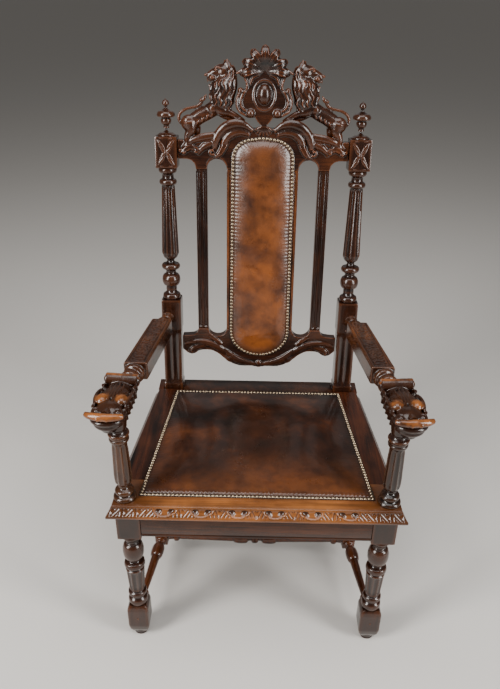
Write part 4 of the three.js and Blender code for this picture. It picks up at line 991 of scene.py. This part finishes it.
def lower_rail():
    half = [(0, 65)] + bends(
        (16, 68), (44, 68), (76, 70, 104, 98), (134, 126, 170, 112), (182, 98, 198, 106),
        (POST_INNER, 118), (POST_INNER, LEDGE), (SLAT_OUT + 20, LEDGE + 2),
        (SLAT_OUT + 1, LEDGE + 3, SLAT_OUT, LOWER_SPRING), (SLAT_IN, LOWER_SPRING))
    half += [(x, z) for x, z in reversed(round_arch(PANEL_HALF, SLAT_IN, LOWER_SPRING, -LOWER_DIP))][1:]
    half.append((0, LOWER_SPRING))
    y = BOARD_FRONT
    bm = bmesh.new()
    sawn_board(bm, half, y, BOARD_BACK)
    leaves = ribs([(6, y - 1, 76, 5), (34, y - 3, 80, 9), (62, y - 4, 90, 11), (90, y - 2, 112, 8),
                   (112, y, 132, 3)], 4)
    leaves += ribs([(84, y - 1, 104, 6), (112, y - 3, 124, 9), (142, y - 4, 138, 9),
                    (176, y - 2, 141, 7), (206, y, 134, 3)], 4)
    leaves += ribs([(142, y - 1, 134, 6), (168, y - 3, 126, 8), (188, y - 3, 116, 6), (192, y, 107, 2)],
                   3)
    leaves += ribs([(104, y - 1, 134, 5), (118, y - 2, 147, 6), (136, y, 158, 3)], 3)
    leaves += ribs([(70, y - 1, 84, 4), (84, y - 2, 88, 5), (96, y, 98, 2.4)], 2)
    leaves.append([(x, y, z + 4.5, 1.8) for x, z in half[:24:2] if x > 20])
    add_limbs(bm, both_sides(leaves), sides=3)
    add_ball(bm, (0, y, 80), (8, 6, 8), 14)
    for side in (1, -1):
        add_ball(bm, (side * 186, y - 2, 112), (5, 5, 5), 12)
    return trim_to_posts(fused(bm, CREST_VOXEL))


as_piece(lower_rail(), "carved_lower_back_rail", oak_relief, ["lower_back_rail"], BACK,
         smooth_deg=60)

# Back slats and panel board
# Two narrow fluted slats and the wide board that the leather is nailed over, all tenoned between
# the lower rail and the crest. The strips outside the nails are rubbed to a warm orange.

oak_slat = oak("oak_slat", "Z", wear=0.45, high=0.0, shine=0.16)
oak_strip = oak("oak_strip", "Z", wear=0.9, dark=(0.014, 0.006, 0.003), warm=(0.085, 0.025, 0.007),
                high=0.0)
JOINT_GAP = 0.3
SLAT_X = 154
SLAT_HALF = 14
SLAT_FRONT = 15
SLAT_BACK = 35


def slab(low, high, bevel=1.2, segments=2):
    """A plain board between two corners, with its edges softened."""
    bm = bmesh.new()
    low, high = Vector(low), Vector(high)
    size = high - low
    bmesh.ops.create_cube(bm, size=1, matrix=Matrix.Translation((low + high) / 2)
                          @ Matrix.Diagonal((*size, 1)))
    soften(bm, bm.edges[:], bevel, segments)
    return bm


def slice_up(bm, normal, places):
    """Edge loops across a board, where a carved hollow needs them."""
    normal = Vector(normal)
    for place in places:
        bmesh.ops.bisect_plane(bm, geom=bm.verts[:] + bm.edges[:] + bm.faces[:],
                               plane_co=normal * place, plane_no=normal)


def fluted_strip(x0, x1, y0, y1, grooves, width, depth):
    """An upright strip with hollow grooves in its face that stop in round ends."""
    low, high = LOWER_SPRING + JOINT_GAP, CREST_SPRING - JOINT_GAP
    bm = slab((x0, y0, low), (x1, y1, high), 1.4)
    places = [x + width * step / 6 for x in grooves for step in range(-6, 7)]
    slice_up(bm, (1, 0, 0), sorted(places))
    ends = [5 + step * 1.6 for step in range(10)]
    slice_up(bm, (0, 0, 1), [low + e for e in ends] + [high - e for e in ends])
    for v in bm.verts:
        if v.co.y > y0 + 0.2:
            continue
        room = min(v.co.z - low, high - v.co.z) - 9
        for x in grooves:
            across = (v.co.x - x) / width
            if abs(across) >= 1 or room <= -width:
                continue
            end = 1 if room > 0 else 1 - (room / width) ** 2
            v.co.y += depth * math.sqrt(max(0, end - across * across))
    return bm


for side, name in SIDES:
    centre = side * SLAT_X
    slat = fluted_strip(centre - SLAT_HALF, centre + SLAT_HALF, SLAT_FRONT, SLAT_BACK,
                        (centre - SLAT_HALF / 2, centre + SLAT_HALF / 2), 4.6, 3.2)
    as_piece(slat, "fluted_back_slat_" + name, oak_slat, ["back_slat_" + name], BACK)

panel = fluted_strip(-PANEL_HALF, PANEL_HALF, BOARD_FRONT, BOARD_BACK, (-82, 82), 2.2, 1.8)
as_piece(panel, "back_panel_board", oak_strip, ["back_splat"], BACK)

# Seat frame
# Four oak boards, butted and pegged at the corners, lie over the rails. Their outer edge is
# moulded, and the front one is gouged with six lunettes between leafy chevrons.

FRAME_FRONT_X = 325
FRAME_BACK_X = 274
FRAME_FRONT_Y = FLOOR_Y - 31
FRAME_BACK_Y = FLOOR_Y + 492
BOARD_THICK = 28
BOARD_BOTTOM = SEAT_TOP - BOARD_THICK
BOARD_WIDTH = 88
EDGE_OUT = 14
LUNETTE_PITCH = 81
LUNETTES_EACH_SIDE = 3
CUP_HALF = 30
HOLLOW_OFF = 14
oak_front = oak("oak_front", "X", dark=(0.02, 0.0075, 0.003), warm=(0.14, 0.044, 0.011),
                worn=(0.38, 0.14, 0.034), wear=0.8)
oak_side = oak("oak_side", "Y", warm=(0.06, 0.0155, 0.0055), wear=0.35, gloss=0.3, high=0.0, shine=0.08)


def edge_out(share):
    """How far the moulded edge stands out, from the board's top (0) to its underside (1)."""
    if share < 0.12:
        return 2.6 * math.sqrt(share / 0.12)
    if share < 0.74:
        along = (share - 0.12) / 0.62
        return 2.6 + (EDGE_OUT - 3.4) * (along - 0.16 * math.sin(math.pi * along))
    return EDGE_OUT - 0.8 + 0.8 * math.sin((share - 0.74) / 0.26 * math.pi)


def lunette_depth(x, share):
    """Depth of the carving on the front edge: cups with two hollows each, and leaves between."""
    if not 0.1 < share < 0.8:
        return 0
    reach = LUNETTES_EACH_SIDE * LUNETTE_PITCH
    level = (share - 0.1) / 0.7
    if abs(x) > reach + 88:
        return 0
    fade = min(1, 5 * level, 5 * (1 - level))
    if abs(x) <= reach:
        near = abs((x / LUNETTE_PITCH) % 1 - 0.5) * LUNETTE_PITCH
        from_cup = math.hypot(near / CUP_HALF, level / 0.92)
        if from_cup < 1:
            rim = max(0, 1 - abs(from_cup - 0.9) / 0.1)
            hollow = math.hypot((near - HOLLOW_OFF) / 8.6, (level - 0.4) / 0.38)
            return fade * (1.0 - 2.6 * rim + 5.2 * max(0, 1 - hollow * hollow))
        near = LUNETTE_PITCH / 2 - near
    else:
        near = (abs(x) - reach) % 29.4 - 14.7
        near = abs(near)
    chevron = abs((near / 8.5 + level * 1.4) % 1 - 0.5) * 2
    stem = max(0, 1 - near / 1.6)
    return fade * (0.5 + 2.0 * (1 - chevron) ** 1.6 - 1.2 * stem)


def moulded_board(ends, inner, columns, carved):
    """A board with one moulded edge. ends holds the top outer corners (x, y) and inner the inner
    ones, in the same order, seen with the moulded edge nearest. A float attribute darkens the wood:
    it is painted shade in the carving's deep hollows, and it grows towards the board's two ends."""
    rows = 30 if carved else 12
    top_rows = 6
    last = rows + top_rows + 2
    bm = bmesh.new()
    wax_and_painted_shade = bm.verts.layers.float.new("wax_and_painted_shade")
    bmesh.ops.create_grid(bm, x_segments=columns, y_segments=last, size=1)
    outward = Vector((ends[1][1] - ends[0][1], ends[0][0] - ends[1][0])).normalized()
    for v in bm.verts:
        along = (v.co.x + 1) / 2
        row = round((v.co.y + 1) / 2 * last)
        top = Vector(ends[0]).lerp(Vector(ends[1]), along)
        back = Vector(inner[0]).lerp(Vector(inner[1]), along)
        if row <= top_rows or row == last:
            inwards = 1 - (row % last / top_rows) ** 2 if row < last else 1
            v.co = Vector((*top.lerp(back, inwards), SEAT_TOP))
            v[wax_and_painted_shade] = min(0.94, max(0, (abs(top.x) - 205) / 88)) if carved else 0
        elif row == last - 1:
            v.co = Vector((*back, BOARD_BOTTOM))
        else:
            share = (row - top_rows) / rows
            out = edge_out(share)
            slide = (2 * along - 1) * out if carved else 0
            if carved:
                depth = lunette_depth(top.x, share)
                out -= depth
                # Painted shade in the carving's deep hollows, and darker towards both ends of the
                # board.
                v[wax_and_painted_shade] = max(min(1, max(0, (depth - 1.4) / 2)),
                              min(0.94, max(0, (abs(top.x) - 225) / 72)))
            place = top + outward * out
            v.co = Vector((place.x + slide, place.y, SEAT_TOP - BOARD_THICK * share))
    bmesh.ops.remove_doubles(bm, verts=bm.verts, dist=0.01)
    bmesh.ops.holes_fill(bm, edges=[e for e in bm.edges if e.is_boundary], sides=0)
    bmesh.ops.recalc_face_normals(bm, faces=bm.faces)
    return bm


def frame_edge_x(y):
    taper = FRAME_FRONT_X - FRAME_BACK_X
    return FRAME_FRONT_X - taper * (y - FRAME_FRONT_Y) / (FRAME_BACK_Y - FRAME_FRONT_Y)


front_back = FRAME_FRONT_Y + BOARD_WIDTH
front_board = moulded_board([(-FRAME_FRONT_X, FRAME_FRONT_Y), (FRAME_FRONT_X, FRAME_FRONT_Y)],
                            [(-frame_edge_x(front_back) - 9, front_back),
                             (frame_edge_x(front_back) + 9, front_back)],
                            600, True)
as_piece(front_board, "carved_seat_board_front", oak_front, ["seat_board_front"], smooth_deg=45)

for side, name in SIDES:
    start = front_back + JOINT_GAP
    outer = [(side * frame_edge_x(start), start), (side * frame_edge_x(POST_FRONT - 4), POST_FRONT - 4)]
    inner = [(side * (frame_edge_x(start) - BOARD_WIDTH), start), (side * 213, POST_FRONT - 4)]
    if side < 0:
        outer.reverse()
        inner.reverse()
    board = moulded_board(outer, inner, 40, False)
    tail = slab((POST_X + POST_HALF + 0.4, POST_FRONT - 4.2, BOARD_BOTTOM + 0.2),
                (frame_edge_x(FRAME_BACK_Y) + 9, FRAME_BACK_Y, SEAT_TOP - 0.2), 1)
    bmesh.ops.scale(tail, vec=(side, 1, 1), verts=tail.verts)
    bmesh.ops.recalc_face_normals(tail, faces=tail.faces)
    join_in(board, tail)
    as_piece(board, "seat_board_side_" + name, oak_side, ["seat_board_side_" + name])

back_board = slab((-POST_X + POST_HALF + 0.6, FRAME_BACK_Y - BOARD_WIDTH * 0.7, BOARD_BOTTOM),
                  (POST_X - POST_HALF - 0.6, FRAME_BACK_Y, SEAT_TOP), 1.5)
as_piece(back_board, "seat_board_back_board", oak_slat, ["seat_board_back"])

# Rails
# Four plain oak rails tenoned into the legs and posts under the seat boards, with a scratched
# bead along the lower edge.

RAIL_INSET = 1.5
RAIL_TOP = BOARD_BOTTOM - JOINT_GAP
RAIL_HEIGHT = 70
RAIL_BOTTOM = RAIL_TOP - RAIL_HEIGHT
RAIL_THICK = 26
oak_rail = oak("oak_rail", "X", warm=(0.055, 0.0165, 0.006), wear=0.4, high=0.0, shine=0.06)


def beaded_rail(low, high, outer):
    """A rail whose outer face, at y = outer, has a scratched line above its lower edge."""
    bm = slab(low, high, 1.3)
    slice_up(bm, (0, 0, 1), [low[2] + 6 + 0.7 * step for step in range(5)])
    for v in bm.verts:
        if abs(v.co.y - outer) < 0.3:
            line = abs(v.co.z - low[2] - 7.4) / 1.4
            v.co.y += 1.2 * max(0, 1 - line) * (1 if outer == low[1] else -1)
    return bm


front = FLOOR_Y - LEG_BLOCK_HALF + RAIL_INSET
as_piece(beaded_rail((-LEG_LINE_X / MM + LEG_BLOCK_HALF + JOINT_GAP, front, RAIL_BOTTOM),
                     (LEG_LINE_X / MM - LEG_BLOCK_HALF - JOINT_GAP, front + RAIL_THICK, RAIL_TOP),
                     front),
         "front_seat_rail", oak_rail, ["front_rail"])
middle = POST_FRONT + POST_HALF
as_piece(beaded_rail((-POST_X + POST_HALF + JOINT_GAP, middle - RAIL_THICK / 2, RAIL_BOTTOM),
                     (POST_X - POST_HALF - JOINT_GAP, middle + RAIL_THICK / 2, RAIL_TOP),
                     middle + RAIL_THICK / 2),
         "back_seat_rail", oak_rail, ["back_rail"])
for side, name in SIDES:
    near, far = FLOOR_Y + LEG_BLOCK_HALF + JOINT_GAP, POST_FRONT - 3.3
    at_leg = LEG_LINE_X / MM + LEG_BLOCK_HALF - RAIL_INSET
    at_post = POST_X + POST_HALF - RAIL_INSET
    rail = slab((0, near, RAIL_BOTTOM), (RAIL_THICK, far, RAIL_TOP), 1.3)
    for v in rail.verts:
        share = (v.co.y - near) / (far - near)
        outer = at_leg * (1 - share) + at_post * share
        v.co.x = side * (outer - RAIL_THICK + v.co.x)
    bmesh.ops.recalc_face_normals(rail, faces=rail.faces)
    as_piece(rail, "side_seat_rail_" + name, oak_side, ["side_rail_" + name])

# Stretchers
# An H of turned oak low between the legs: two side stretchers with square middle blocks, and one
# cross stretcher between them.

STRETCHER_HALF = 18
KICK_AT_STRETCHER = 28.7
stretcher_low, stretcher_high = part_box("side_stretcher_right")
STRETCHER_Z = (stretcher_low[2] + stretcher_high[2]) / 2 / MM
oak_stretcher = oak("oak_stretcher", "Y", warm=(0.07, 0.019, 0.007), wear=0.65)


def stretcher_steps(length, start):
    """Half a stretcher's turned profile, from its middle out to one end."""
    return [(start, 15), (start + 1, 15.4), (start + 9, 15.8, 13), (start + 11, 10.6),
            (start + 20, 9.4, 12), (start + 22, 14.4), (start + 60, 17.4, 13.6), (start + 62, 12),
            (length - 30, 8.6), (length - 28, 11.4), (length - 14, 14.4, 11.4), (length - 12, 9.6),
            (length, 10.4), (length, 0)]


def whole_stretcher(length, start):
    """Both halves in one, with a bead in the middle where no square block starts."""
    turned = outline([(0.0, 12 if start else 17)] + stretcher_steps(length, start))
    mirror = [(-z, r) for z, r in reversed(turned)][:-1]
    return turn_piece(mirror + turned, sides=48)


cross_low, cross_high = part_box("cross_stretcher")
for side, name in SIDES:
    near = Vector((LEG_LINE_X / MM, FLOOR_Y + LOWER_BLOCK_HALF))
    far = Vector((POST_X, POST_FRONT + KICK_AT_STRETCHER))
    length = (far - near).length / 2
    bm = whole_stretcher(length, STRETCHER_HALF)
    join_in(bm, slab((-STRETCHER_HALF,) * 3, (STRETCHER_HALF,) * 3, 2))
    centre = (near + far) / 2
    turn = math.atan2(near.x - far.x, far.y - near.y)
    place = (Matrix.Translation((side * centre.x, centre.y, STRETCHER_Z))
             @ Matrix.Rotation(side * turn, 4, "Z") @ Matrix.Rotation(math.pi / 2, 4, "X"))
    as_piece(bm, "turned_side_stretcher_" + name, oak_stretcher, ["side_stretcher_" + name],
             place)

cross_length = cross_high[0] / MM
cross_y = (cross_low[1] + cross_high[1]) / 2 / MM
cross_place = Matrix.Translation((0, cross_y, STRETCHER_Z)) @ Matrix.Rotation(math.pi / 2, 4, "Y")
as_piece(whole_stretcher(cross_length, 0), "turned_cross_stretcher", oak_stretcher,
         ["cross_stretcher"], cross_place)

# Leather panels
# Two glazed hides laid over padding and close-nailed along a narrow leather band: one on the seat
# frame and one on the back board. Both are crowned in the middle and pucker between the nails.

NAIL_PITCH = 9.15
BAND = 9
CREEP = 0.8
GATHER = 0.75
BACK_CROWN = 14.5
BACK_HIDE_TOP = 689
BACK_HIDE_BOTTOM = 105
TOP_CORNER = 50
BOTTOM_CURVE = 68
BACK_HIDE_HALF = 74.5
INNER_ROWS = 16
NAIL_RADIUS = 4.1
NAIL_RISE = 2.7


def leather(name, glow_axis, glow_from, glow_to):
    """Chestnut hide with dark mottled patches, darker towards the nails and warmer at one end."""
    material, tree, shader = new_material(name)
    links = tree.links
    where = tree.nodes.new("ShaderNodeTexCoord").outputs["Object"]
    axes = tree.nodes.new("ShaderNodeSeparateXYZ")
    links.new(where, axes.inputs["Vector"])
    glow = ranged(tree, axes.outputs[glow_axis], 0, 1, glow_from, glow_to)
    stain = ramp(tree, cloud(tree, where, 6.5, 4, 0.55, 0.5), (0.38, (0.0065, 0.0028, 0.0017)),
                 (0.54, (0.03, 0.0088, 0.0033)), (0.7, (0.1, 0.028, 0.007)))
    warm = ramp(tree, cloud(tree, where, 9, 5, 0.55, 0.3), (0.32, (0.05, 0.014, 0.0045)),
                (0.62, (0.25, 0.072, 0.014)))
    base = mixed(tree, "MIX", glow, stain, warm)
    spots = ramp(tree, cloud(tree, where, 38, 4), (0.36, (0.4, 0.36, 0.34)), (0.56, (1, 1, 1)))
    base = mixed(tree, "MULTIPLY", 0.5, base, spots)
    rim = tree.nodes.new("ShaderNodeAttribute")
    rim.attribute_name = "rim"
    base = mixed(tree, "MIX", rim.outputs["Fac"], base, (0.011, 0.005, 0.003))
    links.new(base, shader.inputs["Base Color"])
    links.new(ranged(tree, cloud(tree, where, 22, 4), 0.2, 0.42), shader.inputs["Roughness"])
    shader.inputs["Coat Weight"].default_value = 0.4
    shader.inputs["Coat Roughness"].default_value = 0.12
    grain = tree.nodes.new("ShaderNodeTexVoronoi")
    grain.inputs["Scale"].default_value = 700
    links.new(where, grain.inputs["Vector"])
    fine = bumped(tree, grain.outputs["Distance"], 0.16, 0.0004)
    links.new(bumped(tree, cloud(tree, where, 30, 5, 0.55, 0.8), 0.4, 0.0025, fine),
              shader.inputs["Normal"])
    return material


def brass():
    material, _, shader = new_material("antique_nail")
    shader.inputs["Base Color"].default_value = (0.33, 0.26, 0.18, 1)
    shader.inputs["Metallic"].default_value = 1
    shader.inputs["Roughness"].default_value = 0.33
    return material


def hide_edge(d):
    """Height of a hide at a distance d from its edge: a flat band and the groove behind the nails."""
    if d < CREEP:
        return 0.6 + 1.4 * math.sqrt(d / CREEP)
    if d < BAND:
        return 2
    return 2 - 0.9 * max(0, 1 - abs(d - BAND - 0.8) / 1.4)


def crown(d, reach):
    """Share of the full crown at a distance d from the edge, level once past reach."""
    return 1 - (1 - min(1, max(0, (d - BAND - 0.5) / reach))) ** 2.3


def pucker(d, run):
    """Small gathers that start at the nails and fade into the hide."""
    if d < BAND:
        return 0
    return GATHER * math.cos(2 * math.pi * run / NAIL_PITCH) * math.exp(-(d - BAND) / 7)


def even_points(points, count):
    """The same closed line as count points at equal distances."""
    loop = points + points[:1]
    lengths = [math.dist(a, b) for a, b in zip(loop, loop[1:])]
    step = sum(lengths) / count
    out, walked, i = [], 0.0, 0
    for k in range(count):
        while walked + lengths[i] < k * step:
            walked += lengths[i]
            i += 1
        share = (k * step - walked) / lengths[i]
        out.append(tuple(a + (b - a) * share for a, b in zip(loop[i], loop[i + 1])))
    return out


def back_hide_outline(grow):
    """The back hide's closed outline in x and z, starting at the middle of its top."""
    top, bottom = BACK_HIDE_TOP + grow, BACK_HIDE_BOTTOM - grow
    corner, foot = TOP_CORNER + grow, BOTTOM_CURVE + grow
    half = BACK_HIDE_HALF + grow
    right = [(x, top - 1 - 3 * (x / (half - corner)) ** 2) for x in (0, 8, 16)]
    right += [(half - corner + corner * math.sin(a), top - corner + (corner - 4) * math.cos(a))
              for a in (math.pi / 2 * i / 24 for i in range(25))]
    right += [(half, top - corner - (top - corner - bottom - foot) * i / 30) for i in range(1, 30)]
    right += [(half * math.cos(a), bottom + foot - foot * math.sin(a))
              for a in (math.pi / 2 * i / 30 for i in range(31))]
    right = [(x * (1 + 0.047 * (top - z) / (top - bottom)), z) for x, z in right]
    return right + [(-x, z) for x, z in reversed(right[1:-1])]


def back_hide():
    columns = 560
    rim = even_points(back_hide_outline(4.5), columns)
    step = math.dist(rim[0], rim[1])
    near = [0, 0.3, CREEP, 4.5, 7.5, 9, 9.8, 10.6, 11.6, 13, 15, 17.5, 20.5, 24]
    rows = len(near) + INNER_ROWS
    bm = bmesh.new()
    edge = bm.verts.layers.float.new("rim")
    bmesh.ops.create_grid(bm, x_segments=columns, y_segments=rows + 1, size=1)
    for v in bm.verts:
        column = round((v.co.x + 1) / 2 * columns)
        row = round((v.co.y + 1) / 2 * (rows + 1))
        x, z = rim[column % columns]
        spine = Vector((0, min(BACK_HIDE_TOP - TOP_CORNER, max(BACK_HIDE_BOTTOM + BOTTOM_CURVE, z))))
        out = Vector((x, z)) - spine
        if row == 0:
            d, height, share = 0, 0, 0.0
        elif row == 1:
            d, height, share = 0, 0, 1.0
        else:
            i = row - 2
            room = out.length - near[-1]
            d = near[i] if i < len(near) else near[-1] + room * (i - len(near) + 1) / (INNER_ROWS + 1)
            if row == rows + 1:
                d = out.length
            share = max(0.0, 1 - d / out.length)
            height = hide_edge(d) + BACK_CROWN * crown(d, out.length - BAND - 0.5)
            height += pucker(d, column * step)
            height += 0.9 * noise.noise(Vector((x * share / 32, z / 45, 2.0))) * min(1, d / 20)
        place = spine + out * share
        v.co = Vector((place.x, BOARD_FRONT - 0.3 - height, place.y))
        v[edge] = max(0.0, 1 - d / 30) ** 1.5 if row > 1 else 1.0
    bmesh.ops.remove_doubles(bm, verts=bm.verts, dist=0.02)
    bmesh.ops.recalc_face_normals(bm, faces=bm.faces)
    return bm


def nail_row(places):
    """Domed nail heads, each at (place, the way it faces)."""
    bm = bmesh.new()
    head = Matrix.Diagonal((NAIL_RADIUS, NAIL_RADIUS, NAIL_RISE, 1))
    for place, facing in places:
        turn = Matrix.Translation(place) @ Vector(facing).to_track_quat("Z", "Y").to_matrix().to_4x4()
        bmesh.ops.create_uvsphere(bm, u_segments=10, v_segments=6, radius=1, matrix=turn @ head)
    return bm


hide_on_back = as_piece(back_hide(), "back_hide", leather("leather_back", "Z", 1.32, 0.72),
                        ["back_leather"], BACK, smooth_deg=0)
hide_on_back.data.shade_smooth()
antique_brass = brass()
back_line = back_hide_outline(0)
around = sum(math.dist(a, b) for a, b in zip(back_line, back_line[1:] + back_line[:1]))
back_nails = [((x, BOARD_FRONT - 2.2, z), (0, -1, 0))
              for x, z in even_points(back_line, round(around / NAIL_PITCH))]
as_piece(nail_row(back_nails), "back_nails", antique_brass, [], BACK)

SEAT_FRONT = FLOOR_Y + 6
SEAT_BACK = FLOOR_Y + 428
SEAT_FRONT_X = 264.6
SEAT_BACK_X = 226.5
SEAT_CROWN = 10.5
HIDE_MARGIN = 4.5
HIDE_WIDTH = 538
EDGE_ZONE = 18
HIDE_STEP = 2.7
WELT_IN = 15.5


def seat_half_width(y, grow):
    share = (y - SEAT_FRONT) / (SEAT_BACK - SEAT_FRONT)
    return SEAT_FRONT_X + (SEAT_BACK_X - SEAT_FRONT_X) * share + grow


def spread(total):
    """Places across the hide: close together near both edges, even between."""
    near = [0, 0.3, CREEP, 4.5, 7.5, 9, 9.8, 10.6, 11.8, 13.4, 15.4, EDGE_ZONE]
    room = total - 2 * EDGE_ZONE
    inner = round(room / HIDE_STEP)
    middle = [EDGE_ZONE + room * i / inner for i in range(1, inner)]
    return near + middle + [total - d for d in reversed(near)]


def seat_hide():
    depth = SEAT_BACK - SEAT_FRONT + 2 * HIDE_MARGIN
    across, back = spread(HIDE_WIDTH), spread(depth)
    bm = bmesh.new()
    edge = bm.verts.layers.float.new("rim")
    bmesh.ops.create_grid(bm, x_segments=len(across) - 1, y_segments=len(back) - 1, size=1)
    for v in bm.verts:
        from_left = across[round((v.co.x + 1) / 2 * (len(across) - 1))]
        from_front = back[round((v.co.y + 1) / 2 * (len(back) - 1))]
        y = SEAT_FRONT - HIDE_MARGIN + from_front
        half = seat_half_width(y, HIDE_MARGIN)
        side = min(from_left, HIDE_WIDTH - from_left)
        reach = side
        if side >= EDGE_ZONE:
            reach = EDGE_ZONE + (side - EDGE_ZONE) * (half - EDGE_ZONE) / (HIDE_WIDTH / 2 - EDGE_ZONE)
        x = (half - reach) * (1 if from_left > HIDE_WIDTH / 2 else -1)
        ends = min(from_front, depth - from_front)
        d = min(reach, ends)
        run = y if reach < ends else x
        height = hide_edge(d) + SEAT_CROWN * crown(reach, 150) * crown(ends, 130) + pucker(d, run)
        roll = math.exp(-((from_front - WELT_IN) / 4.6) ** 2) * min(1, max(0, reach - 8) / 10)
        height += roll * (1.7 + 0.8 * math.cos(2 * math.pi * x / NAIL_PITCH)
                          + 1.6 * noise.noise(Vector((x / 6, 0, 5))))
        height += 1.5 * noise.noise(Vector((x / 90, y / 70, 4.0))) * min(1, d / 40)
        v.co = Vector((x, y, SEAT_TOP + 0.3 + max(0.4, height)))
        v[edge] = max(0.0, 1 - d / 26) ** 1.5
    rim = bmesh.ops.extrude_edge_only(bm, edges=[e for e in bm.edges if e.is_boundary])
    for v in (g for g in rim["geom"] if isinstance(g, bmesh.types.BMVert)):
        v.co.z = SEAT_TOP + 0.3
    bmesh.ops.holes_fill(bm, edges=[e for e in bm.edges if e.is_boundary], sides=0)
    bmesh.ops.recalc_face_normals(bm, faces=bm.faces)
    return bm


hide_on_seat = as_piece(seat_hide(), "seat_hide", leather("leather_seat", "Y", -0.1, -0.46),
                        ["seat_leather"], smooth_deg=0)
hide_on_seat.data.shade_smooth()
corners = [(SEAT_FRONT_X, SEAT_FRONT), (SEAT_BACK_X, SEAT_BACK), (-SEAT_BACK_X, SEAT_BACK),
           (-SEAT_FRONT_X, SEAT_FRONT)]
seat_nails = []
for a, b in zip(corners, corners[1:] + corners[:1]):
    count = round(math.dist(a, b) / NAIL_PITCH)
    for i in range(count):
        x, y = (p + (q - p) * i / count for p, q in zip(a, b))
        seat_nails.append(((x, y, SEAT_TOP + 2.3), (0, 0, 1)))
as_piece(nail_row(seat_nails), "seat_nails", antique_brass, [])
